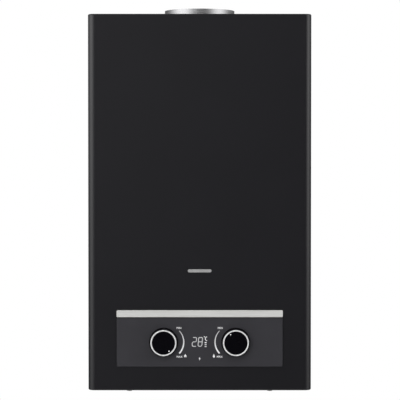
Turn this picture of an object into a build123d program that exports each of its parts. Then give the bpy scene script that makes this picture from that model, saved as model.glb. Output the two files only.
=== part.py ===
from build123d import *
import math
import os

# Wall-hung instantaneous gas water heater with a natural-draught flue, in millimetres.
# X runs to the right, Y runs back to the wall, Z runs up. The wall is the plane Y = 0.
# The origin lies midway between the two wall-hook holes. Heights count from the case bottom.

# Casing
case_width = 330.0
case_height = 556.0
case_depth = 166.0
hook_drop = 46.0
cover_sheet = 0.8
cover_side_radius = 10.0
cover_rim_radius = 2.0
cover_wall_gap = 2.0
cover_lip = 16.0
cover_lip_corner = 6.0
cut_overrun = 1.0
running_gap = 0.05
seat_gap = 0.05
moving_gap = 0.3

# Back plate
back_sheet = 1.0
back_side_gap = 0.4
back_bottom_height = 4.0
back_flange = 14.0
back_rib_radius = 3.0
back_rib_offset = 25.0
back_rib_bottom = 160.0
hook_spacing = 180.0
hook_hole_radius = 5.0
wall_screw_height = 100.0
wall_screw_radius = 4.0

# Flue collar and its way through the casing
collar_radius = 53.0
collar_sheet = 0.8
collar_height = 28.0
collar_rise = 11.0
collar_flange = 8.0
collar_flange_sheet = 1.0
collar_notch_gap = 4.0
flue_setback = 73.0
vent_inner_gap = 21.0
vent_width = 5.0
vent_pitch = 11.0
vent_count = 7
vent_edge = 24.0

# Viewing slit
slit_height = 177.2
slit_length = 35.3
slit_width = 4.8
window_length = 58.0
window_width = 20.0
window_sheet = 0.5
window_border = 7.0
window_frame_sheet = 0.8

# Control panel
panel_height = 35.7
face_width = 244.8
face_height = 71.9
face_sheet = 1.6
panel_corner = 1.5
strip_gap = 1.2
strip_overhang = 0.3
strip_height = 10.4
strip_sheet = 3.0
strip_edge_radius = 0.9
carrier_sheet = 1.6
carrier_inset = 0.8
carrier_skirt_inset = 9.0
carrier_skirt_wall = 2.0
carrier_skirt_depth = 8.0
carrier_opening_gap = 0.4
carrier_hook_width = 10.0
carrier_hook_reach = 1.6
carrier_hook_depth = 4.0
display_width = 58.0
display_height = 30.0
display_depth = 8.0
display_window_width = 34.0
display_window_height = 18.0
board_width = 74.0
board_height = 38.0
board_sheet = 1.6

# Control knobs
knob_spacing = 106.4
knob_height = 72.1
knob_gap = 0.5
knob_skirt_radius = 21.3
knob_skirt_height = 2.4
knob_radius = 20.5
knob_front_radius = 20.2
knob_length = 15.0
knob_wall = 2.0
knob_rim_edge = 0.4
knob_ring_radius = 19.1
knob_ring_width = 2.0
knob_ring_height = 2.4
knob_ring_edge = 0.5
knob_recess = 0.9
knob_hub_radius = 6.0
knob_hub_start = 1.0
knob_bore_end = 1.5

# Spindles, throttle plugs and glands
spindle_radius = 3.0
spindle_flat = 1.0
spindle_hole_radius = 5.0
plug_radius = 8.0
plug_length = 11.0
plug_bore_depth = 12.0
gland_radius = 14.0
gland_depth = 4.0

# Gas valve
valve_front_gap = 80.0
valve_back_reach = 26.0
valve_foot_reach = 34.0
valve_foot_radius = 6.0
valve_foot_rise = 12.0
casting_radius = 2.0
gas_width = 66.0
gas_reach = 26.0
gas_rise = 26.0
gas_outlet_offset = 20.8
gas_outlet_rise = 14.5
gas_outlet_radius = 8.0
gas_outlet_length = 4.0
poppet_bore_radius = 10.0
poppet_bore_length = 42.0
poppet_radius = 8.5
poppet_depth = 4.0
spring_radius = 6.6
spring_wire_radius = 0.7
spring_turns = 5
solenoid_spigot = 6.0
solenoid_flange_radius = 16.0
solenoid_flange_depth = 3.0
solenoid_radius = 14.0
solenoid_length = 28.0
solenoid_cap_radius = 6.0
solenoid_cap_length = 4.0

# Water valve
water_width = 36.0
water_reach = 18.0
water_rise = 22.0
water_outlet_radius = 10.0
diaphragm_radius = 32.0
diaphragm_sheet = 1.5
flange_depth = 10.0
flange_chamber_depth = 6.0
chamber_bore_radius = 24.0
dome_depth = 12.0
dome_wall = 5.0
dome_edge_radius = 3.0
neck_radius = 7.0
neck_length = 5.0
rod_radius = 3.0
rod_plate_radius = 20.0
rod_plate_depth = 2.0
rod_collar_radius = 7.0
rod_collar_depth = 2.0
clamp_screw_count = 6
clamp_screw_circle = 28.0
clamp_screw_radius = 1.5
clamp_screw_head_radius = 2.8
clamp_screw_head_depth = 2.4
clamp_screw_bite = 7.0
drain_stem_radius = 3.0
drain_bore_depth = 9.0
drain_grip_radius = 6.5
drain_grip_height = 9.5
drain_grip_bottom = 8.0
drain_flute_radius = 1.4
drain_flute_count = 8

# Micro switch on the side of the gas valve
switch_length = 18.0
switch_half_width = 3.2
switch_bottom_rise = 11.0
switch_height = 17.0
switch_corner = 1.0
lever_offset = 9.0
lever_arm = 12.0
lever_sheet = 1.0
lever_half_width = 2.0
lever_slot_gap = 0.4
lever_slot_reach = 5.2
lever_slot_rise = 2.2
lever_contact_drop = 3.0
lever_pin_radius = 1.0
lever_hub_radius = 1.6

# Valve bracket
bracket_sheet = 1.5
bracket_half_height = 20.0
bracket_foot = 12.0

# Bottom plate
bottom_height = 24.0
bottom_sheet = 1.2
bottom_side_gap = 6.0
bottom_front_gap = 14.0
bottom_flange = 20.0
bottom_tab_offset = 104.0
bottom_tab_width = 24.0
bottom_tab_foot = 11.0
bottom_vent_length = 46.0
bottom_vent_width = 7.0
bottom_vent_count = 3
bottom_vent_pitch = 14.0
bottom_vent_setback = 16.0
cover_screw_radius = 2.0
cover_screw_head_radius = 3.6
cover_screw_head_depth = 1.5
cover_screw_length = 8.0
cover_screw_cross_width = 0.9
cover_screw_cross_length = 4.0
cover_screw_cross_depth = 0.9

# Pipe fittings
fitting_height = 4.0
fitting_radius = 10.48
fitting_length = 14.0
fitting_hex_flats = 28.0
fitting_stem_radius = 8.0
fitting_bore_radius = 7.0
fitting_bore_depth = 18.0
nut_flats = 24.0
nut_height = 6.0
strainer_wall = 1.0
strainer_length = 12.0

# Burner
burner_valve_gap = 8.0
chamber_side_gap = 53.0
chamber_front_gap = 38.0
chamber_rear_gap = 18.0
chamber_corner = 10.0
chamber_sheet = 1.0
burner_frame_height = 45.0
burner_ledge_width = 20.0
burner_ledge_sheet = 1.2
burner_arm_inset = 27.0
burner_arm_width = 20.0
burner_arm_rise = 22.0
burner_arm_sheet = 1.5
burner_arm_foot = 16.0
blade_count = 12
blade_width = 9.0
blade_port_width = 5.0
blade_front_gap = 13.0
blade_rear_gap = 10.0
blade_duct_height = 16.0
blade_slot_height = 6.0
blade_slot_end = 22.0
blade_top_gap = 2.0
blade_taper_height = 5.0
port_count = 8
port_length = 6.0
port_depth = 3.0
manifold_depth = 12.0
manifold_half_height = 8.0
manifold_overhang = 6.0
manifold_corner = 3.0
nozzle_radius = 3.5
nozzle_length = 8.0
nozzle_tip_length = 3.0
nozzle_tip_radius = 1.8
nozzle_hole_gap = 0.3
feed_radius = 5.5
feed_bend = 11.0

# Heat exchanger
chamber_height = 150.0
chamber_fin_margin = 3.0
fin_height = 42.0
fin_sheet = 0.8
fin_count = 35
fin_edge_gap = 0.5
tube_radius = 6.5
tube_pitch = 19.0
tube_edge = 16.0
tube_bend_flat = 1.0
tube_bend_reach = 17.0
tube_drop = 31.0
coil_radius = 6.0
coil_gap = 0.3
coil_start_height = 210.0
coil_pitch = 24.0
coil_turns = 2
coil_tail = 20.0
coil_end_bend = 10.0
riser_bend = 14.0
riser_run = 2.0

# Hot pipe
hot_side_gap = 25.0
hot_outlet_x = -118.0
hot_outlet_offset = 26.0
hot_offset_top = 95.0
hot_offset_bottom = 65.0
hot_bend = 14.0

# Draft hood
hood_sheet = 0.8
hood_skirt_height = 70.0
hood_neck_margin = 6.0
hood_flue_margin = 1.0
hood_neck_height = 25.0
hood_slot_inset = 22.0
hood_slot_height = 24.0
hood_slot_rise = 20.0

# Electrodes
electrode_offsets = (-52.0, -40.0, 44.0)
electrode_rise = 10.0
insulator_radius = 3.6
insulator_outside = 12.0
insulator_inside = 14.0
insulator_collar_radius = 5.2
insulator_collar_depth = 3.0
electrode_radius = 1.0
electrode_outside = 5.0
electrode_inside = 16.0
electrode_plate_margin = 9.0
electrode_plate_half_height = 7.5
electrode_plate_sheet = 1.2

# Thermostats
thermostat_radius = 8.0
thermostat_depth = 5.0
thermostat_cap_radius = 6.0
thermostat_cap_depth = 3.0
thermostat_plate_width = 26.0
thermostat_plate_height = 12.0
thermostat_plate_sheet = 1.0
spill_offset = 62.0
spill_rise = 32.0
overheat_drop = 52.0
overheat_clip_wall = 3.0
overheat_clip_height = 18.0

# Ignition module
module_side_gap = 8.0
module_width = 42.0
module_depth = 24.0
module_height = 86.0
module_bottom = 56.0
module_corner = 2.5
module_ear = 8.0
module_ear_sheet = 2.5
module_tower_radius = 5.0
module_tower_length = 9.0
module_tower_offset = 8.5
module_tower_pitch = 12.5

# Electrode leads
lead_radius = 2.0
lead_boot_radius = 3.4
lead_boot_length = 6.0
lead_bend = 8.0
lead_corner_bend = 14.0
lead_side_bend = 18.0
lead_drop = 18.0
lead_step = 6.0
lead_side_gap = 10.0
lead_lift = 21.0
lead_turn_setback = 60.0
lead_arch = 18.0

# Battery box
cell_radius = 16.6
cell_length = 60.0
cell_pin_radius = 4.8
cell_pin_length = 1.5
cell_gap = 0.6
battery_wall = 1.8
battery_side_gap = 1.2
battery_front_gap = 3.0
battery_bottom = 3.2
battery_roof = 1.2
battery_flange = 4.0
battery_flange_sheet = 2.0
battery_cut_gap = 0.4
contact_sheet = 0.8
contact_half = 7.0
door_sheet = 2.0
door_gap = 0.3
hinge_setback = 4.0
hinge_radius = 2.4
hinge_pin_radius = 1.2
hinge_pin_length = 4.0
hinge_lug_width = 5.0
hinge_lug_rise = 8.0
hinge_notch = 1.5
door_lip = 1.5
door_lip_width = 26.0

# Places that follow from the sizes
side = case_width / 2
front = -case_depth
case_top = hook_drop
case_bottom = hook_drop - case_height
cover_rear = -cover_wall_gap
cover_inner_front = front + cover_sheet
back_front = -back_sheet

panel_bottom = case_bottom + panel_height
face_top = panel_bottom + face_height
strip_bottom = face_top + strip_gap
strip_top = strip_bottom + strip_height
carrier_front = front - carrier_sheet
face_front = carrier_front - face_sheet
skirt_half_width = face_width / 2 - carrier_inset - carrier_skirt_inset
skirt_bottom = panel_bottom + carrier_inset + carrier_skirt_inset
skirt_top = strip_top - carrier_inset - carrier_skirt_inset

knob_x = knob_spacing / 2
knob_z = case_bottom + knob_height
knob_back = face_front - knob_gap
knob_floor = knob_length - knob_recess - knob_wall

valve_y = front + valve_front_gap
valve_back = valve_y + valve_back_reach
web_front = valve_y + valve_foot_reach
gas_left = -knob_x - gas_width / 2
gas_right = -knob_x + gas_width / 2
gas_front = valve_y - gas_reach
gas_outlet_x = -knob_x - gas_outlet_offset
gas_outlet_z = knob_z + gas_outlet_rise
poppet_seat = gas_left + poppet_bore_length
poppet_right = poppet_seat - moving_gap
water_left = knob_x - water_width / 2
water_right = knob_x + water_width / 2
water_front = valve_y - water_reach
flange_left = water_left - flange_depth
diaphragm_left = flange_left - diaphragm_sheet
dome_left = diaphragm_left - dome_depth
neck_left = dome_left - neck_length
lever_x = gas_right + lever_offset
lever_pivot_z = knob_z + rod_collar_radius - lever_contact_drop + lever_arm
drain_x = (flange_left + water_left) / 2

bottom_z = case_bottom + bottom_height
bottom_top = bottom_z + bottom_sheet
bottom_front = cover_inner_front + bottom_front_gap
fitting_bottom = case_bottom + fitting_height

chamber_half = case_width / 2 - chamber_side_gap
chamber_front = front + chamber_front_gap
chamber_rear = -chamber_rear_gap
chamber_mid = (chamber_front + chamber_rear) / 2
chamber_depth = chamber_rear - chamber_front
flue_y = -flue_setback
frame_bottom = knob_z + gas_rise + burner_valve_gap
frame_top = frame_bottom + burner_frame_height
nozzle_z = frame_bottom + burner_ledge_sheet + blade_duct_height / 2
row_half = chamber_half - chamber_corner
blade_pitch = 2 * row_half / blade_count
fin_pitch = 2 * row_half / (fin_count - 1)
blade_places = [-row_half + blade_pitch * (place + 1 / 2) for place in range(blade_count)]
chamber_top = frame_top + chamber_height + fin_height + chamber_fin_margin
fin_bottom = frame_top + chamber_height
tube_z = fin_bottom + fin_height / 2
tube_pairs = math.floor((chamber_depth - 2 * tube_edge) / (2 * tube_pitch))
tube_count = 2 * tube_pairs + 1
tube_places = [chamber_mid + tube_pitch * (place - (tube_count - 1) / 2) for place in range(tube_count)]
coil_reach = coil_radius + coil_gap
coil_x = chamber_half + coil_reach
tube_turn_x = chamber_half + tube_bend_reach
water_outlet_end = coil_x - riser_bend - riser_run
coil_front = chamber_front - coil_reach
coil_rear = chamber_rear + coil_reach
coil_bend = chamber_corner + coil_reach
coil_start = case_bottom + coil_start_height
tube_inlet_z = tube_z - tube_drop
hot_x = -(side - hot_side_gap)
hot_outlet_y = valve_y + hot_outlet_offset
slit_z = case_bottom + slit_height
electrode_z = frame_top + electrode_rise
hood_top = case_top + collar_rise - collar_height
hood_neck_half = collar_radius + collar_flange + hood_neck_margin
hood_neck_reach = collar_radius + hood_flue_margin

module_right = side - cover_sheet - module_side_gap
module_left = module_right - module_width
module_top = case_bottom + module_bottom + module_height
tower_y = back_front - module_depth / 2
tower_places = [module_left + module_tower_offset + module_tower_pitch * place
                for place in range(len(electrode_offsets))]
boot_front = chamber_front - electrode_plate_sheet - insulator_outside - lead_boot_length
boot_y = boot_front + lead_boot_length / 2

battery_right = side - cover_lip - battery_side_gap
cell_pitch = 2 * cell_radius + cell_gap
battery_left = battery_right - 2 * cell_pitch - cell_gap - 2 * battery_wall
battery_front = front + cover_lip + battery_front_gap
battery_rear = battery_front + 2 * cell_radius + 2 * cell_gap + 2 * battery_wall
battery_z = case_bottom + battery_bottom
cell_z = battery_z + contact_sheet + door_gap
cell_top = cell_z + cell_length + cell_pin_length
battery_ceiling = cell_top + contact_sheet
cell_y = (battery_front + battery_rear) / 2
cell_left = battery_left + battery_wall + cell_gap + cell_radius
cell_places = [cell_left, cell_left + cell_pitch]
door_top = battery_z - door_gap
hinge_y = battery_rear + hinge_setback
hinge_z = door_top - door_sheet / 2


def block(x, y, z):
    """A box between three pairs of low and high places."""
    middle = Pos((x[0] + x[1]) / 2, (y[0] + y[1]) / 2, (z[0] + z[1]) / 2)
    return middle * Box(x[1] - x[0], y[1] - y[0], z[1] - z[0])


def bar(start, end, radius):
    """A round bar from one point to another."""
    run = Vector(*end) - Vector(*start)
    return extrude(Plane(origin=start, z_dir=run) * Circle(radius), run.length)


def hexagon(start, end, flats):
    """A hexagonal bar from one point to another."""
    run = Vector(*end) - Vector(*start)
    outline = RegularPolygon(flats / 2, 6, major_radius=False)
    return extrude(Plane(origin=start, z_dir=run) * outline, run.length)


def upright(outline, y):
    """An outline in X and Z, drawn out along Y between two places."""
    return extrude(Plane.XZ.offset(-y[1]) * outline, y[1] - y[0])


def level(outline, z):
    """An outline in X and Y, drawn up between two heights."""
    return extrude(Plane.XY.offset(z[0]) * outline, z[1] - z[0])


def pipe(points, radius, bends):
    """A round pipe along straight runs with tangent bends."""
    route = FilletPolyline(*points, radius=bends)
    return sweep(Plane(origin=route @ 0, z_dir=route % 0) * Circle(radius), path=route)


def biarc(start, start_way, end, end_way):
    """Two tangent arcs between two points with given directions."""
    gap = end - start
    ways = start_way + end_way
    spread = 2 * (1 - start_way.dot(end_way))
    reach = (math.sqrt(gap.dot(ways) ** 2 + spread * gap.dot(gap)) - gap.dot(ways)) / spread
    corners = (start + start_way * reach, end - end_way * reach)
    joint = (corners[0] + corners[1]) / 2
    return [TangentArc(start, joint, tangent=start_way),
            TangentArc(joint, end, tangent=corners[1] - corners[0])]


def total(solids):
    """Separate solids gathered in one piece."""
    return Compound(children=[solid for group in solids for solid in group.solids()])


def screw_circle():
    """Places of the diaphragm clamp screws, in Y and Z."""
    turns = [math.tau * place / clamp_screw_count for place in range(clamp_screw_count)]
    return [(valve_y + clamp_screw_circle * math.cos(turn), knob_z + clamp_screw_circle * math.sin(turn))
            for turn in turns]


def front_cover():
    """Folded hood: rounded edges, viewing slit, panel opening, flue notch, vents, bottom opening."""
    body = block((-side, side), (front, cover_rear), (case_bottom, case_top))
    body = fillet(body.edges().filter_by(Axis.Z).group_by(Axis.Y)[0], cover_side_radius)
    ends = body.faces().filter_by(Axis.Z)
    rims = [edge for end in ends for edge in end.edges() if edge.center().Y < cover_rear - cover_sheet]
    body = fillet(rims, cover_rim_radius)
    shell = offset(body, -cover_sheet, openings=body.faces().sort_by(Axis.Y)[-1])
    floor = (case_bottom - cut_overrun, case_bottom + cover_rim_radius)
    roof = (case_top - cover_rim_radius, case_top + cut_overrun)
    through = (front - cut_overrun, front + cover_rim_radius)
    well = block((cover_lip - side, side - cover_lip), (front + cover_lip, 0), floor)
    well = fillet(well.edges().filter_by(Axis.Z).group_by(Axis.Y)[0], cover_lip_corner)
    notch = collar_radius + collar_notch_gap
    shell -= well
    shell -= bar((0, flue_y, roof[0]), (0, flue_y, roof[1]), notch)
    shell -= block((-notch, notch), (flue_y, 0), roof)
    shell -= upright(Pos(0, slit_z) * SlotOverall(slit_length, slit_width), through)
    opening_width = 2 * (skirt_half_width + carrier_opening_gap)
    opening_height = skirt_top - skirt_bottom + 2 * carrier_opening_gap
    opening = RectangleRounded(opening_width, opening_height, panel_corner)
    shell -= upright(Pos(0, (skirt_top + skirt_bottom) / 2) * opening, through)
    vent_length = side - vent_edge - notch - vent_inner_gap
    vent_x = side - vent_edge - vent_length / 2
    for way in (-1, 1):
        for place in range(vent_count):
            vent_y = flue_y + vent_pitch * (place - (vent_count - 1) / 2)
            shell -= level(Pos(way * vent_x, vent_y) * SlotOverall(vent_length, vent_width), roof)
        screw_y = bottom_front - bottom_tab_foot / 2
        shell -= level(Pos(way * bottom_tab_offset, screw_y) * Circle(cover_screw_radius + seat_gap), floor)
    return shell


def back_plate():
    """Flanged rear sheet with stiffening ribs and the wall holes."""
    half = side - cover_sheet - back_side_gap
    height = (case_bottom + back_bottom_height, case_top - cover_sheet - back_side_gap)
    tray = block((-half, half), (-back_flange, 0), height)
    tray = fillet(tray.edges().filter_by(Axis.Y), cover_rim_radius)
    plate = offset(tray, -back_sheet, openings=tray.faces().sort_by(Axis.Y)[0])
    for way in (-1, 1):
        rib_x = way * back_rib_offset
        rib = bar((rib_x, back_front, case_bottom + back_rib_bottom), (rib_x, back_front, 0), back_rib_radius)
        plate += rib - block((-side, side), (back_front, back_rib_radius), height)
        hook_x = way * hook_spacing / 2
        plate -= bar((hook_x, -back_flange, 0), (hook_x, cut_overrun, 0), hook_hole_radius)
        screw_z = case_bottom + wall_screw_height
        plate -= bar((hook_x, -back_flange, screw_z), (hook_x, cut_overrun, screw_z), wall_screw_radius)
    return plate


def bottom_plate():
    """Vented shelf for the fittings and the battery box, with tabs down to the cover's lip."""
    half = side - cover_sheet - bottom_side_gap
    plate = block((-half, half), (bottom_front, back_front), (bottom_z, bottom_top))
    flange = (bottom_z, bottom_z + bottom_flange)
    plate += block((-half, half), (back_front - bottom_sheet, back_front), flange)
    lip_top = case_bottom + cover_sheet
    foot_front = bottom_front - bottom_tab_foot
    for way in (-1, 1):
        middle = way * bottom_tab_offset
        span = (middle - bottom_tab_width / 2, middle + bottom_tab_width / 2)
        plate += block(span, (bottom_front, bottom_front + bottom_sheet), (lip_top, bottom_z))
        tab = block(span, (foot_front, bottom_front), (lip_top, lip_top + bottom_sheet))
        screw = (middle, bottom_front - bottom_tab_foot / 2)
        plate += tab - bar((*screw, lip_top), (*screw, bottom_z), cover_screw_radius + seat_gap)
    holes = [Pos(-knob_x, valve_y) * Circle(fitting_stem_radius + seat_gap),
             Pos(knob_x, valve_y) * Circle(fitting_stem_radius + seat_gap),
             Pos(hot_outlet_x, hot_outlet_y) * Circle(fitting_stem_radius + seat_gap),
             Pos(drain_x, valve_y) * Circle(drain_stem_radius + moving_gap)]
    holes += [Pos(way * bottom_tab_offset / 2, back_front - bottom_vent_setback - bottom_vent_pitch * place)
              * SlotOverall(bottom_vent_length, bottom_vent_width)
              for way in (-1, 1) for place in range(bottom_vent_count)]
    for hole in holes:
        plate -= level(hole, (bottom_z - cut_overrun, bottom_top + cut_overrun))
    plate -= block((battery_left - battery_cut_gap, battery_right + battery_cut_gap),
                   (battery_front - battery_cut_gap, battery_rear + battery_cut_gap),
                   (bottom_z - cut_overrun, bottom_top + cut_overrun))
    return plate


def cover_screws():
    """Two pan-head screws up through the cover's lip."""
    screws = []
    for way in (-1, 1):
        spot = (way * bottom_tab_offset, bottom_front - bottom_tab_foot / 2)
        head_bottom = case_bottom - cover_screw_head_depth
        screw = bar((*spot, head_bottom), (*spot, case_bottom), cover_screw_head_radius)
        slot = Rectangle(cover_screw_cross_length, cover_screw_cross_width)
        cross = Pos(*spot) * (slot + Rot(0, 0, 90) * slot)
        screw -= level(cross, (head_bottom, head_bottom + cover_screw_cross_depth))
        screw += bar((*spot, case_bottom), (*spot, case_bottom + cover_screw_length), cover_screw_radius)
        screws.append(screw)
    return total(screws)


def flue_collar():
    """Short round spigot with a flange that sits on the draft hood."""
    foot = hood_top + collar_flange_sheet
    top = hood_top + collar_height
    ring = level(Pos(0, flue_y) * Circle(collar_radius), (hood_top, top))
    flange_radius = collar_radius + collar_flange
    flange = Circle(flange_radius) & Rectangle(2 * flange_radius, 2 * hood_neck_reach)
    ring += level(Pos(0, flue_y) * flange, (hood_top, foot))
    return ring - level(Pos(0, flue_y) * Circle(collar_radius - collar_sheet), (hood_top, top))


def draft_hood():
    """Sheet hood that narrows to the flue, with a relief slot at the rear."""
    shoulder = chamber_top + hood_skirt_height
    neck = hood_top - hood_neck_height
    skirt = Pos(0, chamber_mid) * Rectangle(2 * chamber_half, chamber_depth)
    throat = Pos(0, flue_y) * Rectangle(2 * hood_neck_half, 2 * hood_neck_reach)
    body = level(skirt, (chamber_top, shoulder)) + level(throat, (neck, hood_top))
    body += loft([Plane.XY.offset(shoulder) * skirt, Plane.XY.offset(neck) * throat])
    hood = offset(body, -hood_sheet, openings=body.faces().sort_by(Axis.Z)[0], kind=Kind.INTERSECTION)
    slot_z = chamber_top + hood_slot_rise
    slot_half = chamber_half - hood_slot_inset
    hood -= block((-slot_half, slot_half), (chamber_mid, 0), (slot_z, slot_z + hood_slot_height))
    flue = Pos(0, flue_y) * Circle(collar_radius - collar_sheet)
    return hood - level(flue, (hood_top - hood_neck_height, hood_top + cut_overrun))


def viewing_window():
    """Heat-proof sheet behind the viewing slit."""
    outline = Pos(0, slit_z) * Rectangle(window_length, window_width)
    return upright(outline, (cover_inner_front, cover_inner_front + window_sheet))


def window_frame():
    """Pressed frame that holds the sheet against the cover."""
    back = cover_inner_front + window_sheet
    length = window_length + 2 * window_border
    width = window_width + 2 * window_border
    outer = Pos(0, slit_z) * RectangleRounded(length, width, window_border / 2)
    frame = upright(outer, (cover_inner_front, back + window_frame_sheet))
    frame -= upright(Pos(0, slit_z) * Rectangle(window_length, window_width), (cover_inner_front, back))
    opening = Rectangle(window_length - window_border, window_width - window_border)
    return frame - upright(Pos(0, slit_z) * opening, (back, back + window_frame_sheet))


def panel_carrier():
    """Moulding that clips into the cover and carries the face and the strip."""
    width = face_width - 2 * carrier_inset
    height = strip_top - panel_bottom - 2 * carrier_inset
    middle = Pos(0, (strip_top + panel_bottom) / 2)
    back = cover_inner_front + carrier_skirt_depth
    carrier = upright(middle * RectangleRounded(width, height, panel_corner), (carrier_front, front))
    skirt_height = skirt_top - skirt_bottom
    outer = RectangleRounded(2 * skirt_half_width, skirt_height, panel_corner)
    inner = Rectangle(2 * (skirt_half_width - carrier_skirt_wall), skirt_height - 2 * carrier_skirt_wall)
    carrier += upright(middle * (outer - inner), (front, back))
    hook = block((-carrier_hook_width / 2, carrier_hook_width / 2),
                 (cover_inner_front, cover_inner_front + carrier_hook_depth), (0, carrier_hook_reach))
    edges = hook.edges().filter_by(Axis.X).group_by(Axis.Z)[-1]
    hook = chamfer(edges.sort_by(Axis.Y)[-1:], carrier_hook_reach / 2)
    for place in (-skirt_half_width / 2, 0, skirt_half_width / 2):
        carrier += Pos(place, 0, skirt_top) * hook
        carrier += Pos(place, 0, skirt_bottom) * mirror(hook, about=Plane.XY)
    through = (carrier_front - cut_overrun, front + cut_overrun)
    for way in (-1, 1):
        carrier -= upright(Pos(way * knob_x, knob_z) * Circle(spindle_hole_radius), through)
    return carrier - upright(Pos(0, knob_z) * Rectangle(display_window_width, display_window_height), through)


def panel_face():
    """Flat face plate with two spindle holes."""
    outline = RectangleRounded(face_width, face_height, panel_corner)
    face = upright(Pos(0, (panel_bottom + face_top) / 2) * outline, (face_front, carrier_front))
    for way in (-1, 1):
        hole = Pos(way * knob_x, knob_z) * Circle(spindle_hole_radius)
        face -= upright(hole, (face_front - cut_overrun, carrier_front))
    return face


def trim_strip():
    """Bar with eased front edges above the face."""
    outline = RectangleRounded(face_width + 2 * strip_overhang, strip_height, panel_corner)
    middle = Pos(0, (strip_bottom + strip_top) / 2)
    strip = upright(middle * outline, (carrier_front - strip_sheet, carrier_front))
    return fillet(strip.faces().sort_by(Axis.Y)[0].edges(), strip_edge_radius)


def display_unit():
    """Read-out block behind the display window."""
    outline = Rectangle(display_width, display_height)
    return upright(Pos(0, knob_z) * outline, (front, front + display_depth))


def display_board():
    """Circuit board on the back of the read-out."""
    outline = RectangleRounded(board_width, board_height, panel_corner)
    back = front + display_depth
    return upright(Pos(0, knob_z) * outline, (back, back + board_sheet))


def spindle_section(growth):
    """Round shaft outline with one flat, grown by a fit gap."""
    half = spindle_radius + growth
    flat = spindle_radius - spindle_flat + growth
    return Circle(half) & Pos(0, flat - half) * Rectangle(2 * half, 2 * half)


def knob_cap(x):
    """Hollow knob with a skirt, a groove for its ring and a hub for the spindle."""
    inner = knob_ring_radius - knob_ring_width
    seat = knob_length - knob_ring_height
    rim = knob_length - knob_recess
    hollow = knob_front_radius - knob_wall - knob_ring_width / 2
    outline = [(knob_skirt_radius, 0), (knob_skirt_radius, knob_skirt_height),
               (knob_radius, knob_skirt_height), (knob_front_radius, rim - knob_rim_edge),
               (knob_front_radius - knob_rim_edge, rim), (knob_ring_radius, rim),
               (knob_ring_radius, seat), (inner, seat), (inner, rim),
               (0, rim), (0, knob_floor), (hollow - knob_wall, knob_floor),
               (hollow, knob_floor - knob_wall), (knob_radius - knob_wall, 0)]
    cap = revolve(Polygon(*[(reach, -rise) for reach, rise in outline], align=None), Axis.Y)
    cap += bar((0, -knob_hub_start, 0), (0, -knob_floor, 0), knob_hub_radius)
    cap -= upright(spindle_section(seat_gap), (knob_bore_end - knob_floor, 0))
    return Pos(x, knob_back, knob_z) * cap


def knob_ring(x):
    """Bright ring seated in the front groove of a knob."""
    middle = Pos(knob_ring_radius - knob_ring_width / 2, knob_ring_height / 2 - knob_length)
    section = middle * Rectangle(knob_ring_width, knob_ring_height)
    section = fillet(section.vertices().group_by(Axis.Y)[0], knob_ring_edge)
    return Pos(x, knob_back, knob_z) * revolve(section, Axis.Y)


def spindle(x, valve_front):
    """Throttle plug with a shaft that runs forward into the knob's hub."""
    tip = knob_back - knob_floor + knob_bore_end + moving_gap
    hub = knob_back
    plug_front = valve_front + seat_gap
    shaft = bar((x, plug_front, knob_z), (x, plug_front + plug_length, knob_z), plug_radius)
    shaft += bar((x, hub, knob_z), (x, plug_front, knob_z), spindle_radius)
    return shaft + upright(Pos(x, knob_z) * spindle_section(0), (tip, hub))


def spindle_glands():
    """Round plates that close the throttle bores round the spindles."""
    ring = Circle(gland_radius) - Circle(spindle_radius + running_gap)
    return total([upright(Pos(x, knob_z) * ring, (valve_front - gland_depth, valve_front))
                  for x, valve_front in ((-knob_x, gas_front), (knob_x, water_front))])


def plug_bore(x, valve_front):
    """Bore for a throttle plug."""
    end = valve_front + plug_bore_depth
    return bar((x, valve_front, knob_z), (x, end, knob_z), plug_radius + running_gap)


def valve_feet(x):
    """Two round feet from a valve body back to the bracket."""
    feet = Part()
    for rise in (-valve_foot_rise, valve_foot_rise):
        start = (x, valve_back - casting_radius, knob_z + rise)
        feet += bar(start, (x, web_front, knob_z + rise), valve_foot_radius)
    return feet


def gas_valve_body():
    """Cast block with a throttle bore, a poppet bore and an outlet boss."""
    height = (knob_z - gas_rise, knob_z + gas_rise)
    body = block((gas_left, gas_right), (gas_front, valve_back), height)
    body = fillet(body.edges(), casting_radius) + valve_feet(-knob_x)
    boss = (gas_outlet_x, gas_front + casting_radius, gas_outlet_z)
    body += bar(boss, (gas_outlet_x, gas_front - gas_outlet_length, gas_outlet_z), gas_outlet_radius)
    body -= plug_bore(-knob_x, gas_front)
    body -= bar((gas_left, valve_y, knob_z), (poppet_seat, valve_y, knob_z), poppet_bore_radius)
    return body - bar((poppet_seat, valve_y, knob_z), (gas_right, valve_y, knob_z), rod_radius + running_gap)


def gas_poppet():
    """Valve disc on the far end of the plunger rod."""
    disc = bar((poppet_right - poppet_depth, valve_y, knob_z), (poppet_right, valve_y, knob_z), poppet_radius)
    return disc - bar((gas_left, valve_y, knob_z), (gas_right, valve_y, knob_z), rod_radius + seat_gap)


def poppet_spring():
    """Coil spring that holds the poppet on its seat, wound in quarter turns."""
    left = gas_left + solenoid_spigot + spring_wire_radius + seat_gap
    right = poppet_right - poppet_depth - spring_wire_radius - seat_gap
    climb = (right - left) / (math.tau * spring_turns)
    places = []
    for step in range(4 * spring_turns + 1):
        turn = math.tau * step / 4
        spot = Vector(left + climb * turn, valve_y + spring_radius * math.cos(turn),
                      knob_z + spring_radius * math.sin(turn))
        way = Vector(climb, -spring_radius * math.sin(turn), spring_radius * math.cos(turn)).normalized()
        places.append((spot, way))
    route = Wire([arc for near, far in zip(places[:-1], places[1:]) for arc in biarc(*near, *far)])
    return sweep(Plane(origin=route @ 0, z_dir=route % 0) * Circle(spring_wire_radius), path=route)


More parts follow.
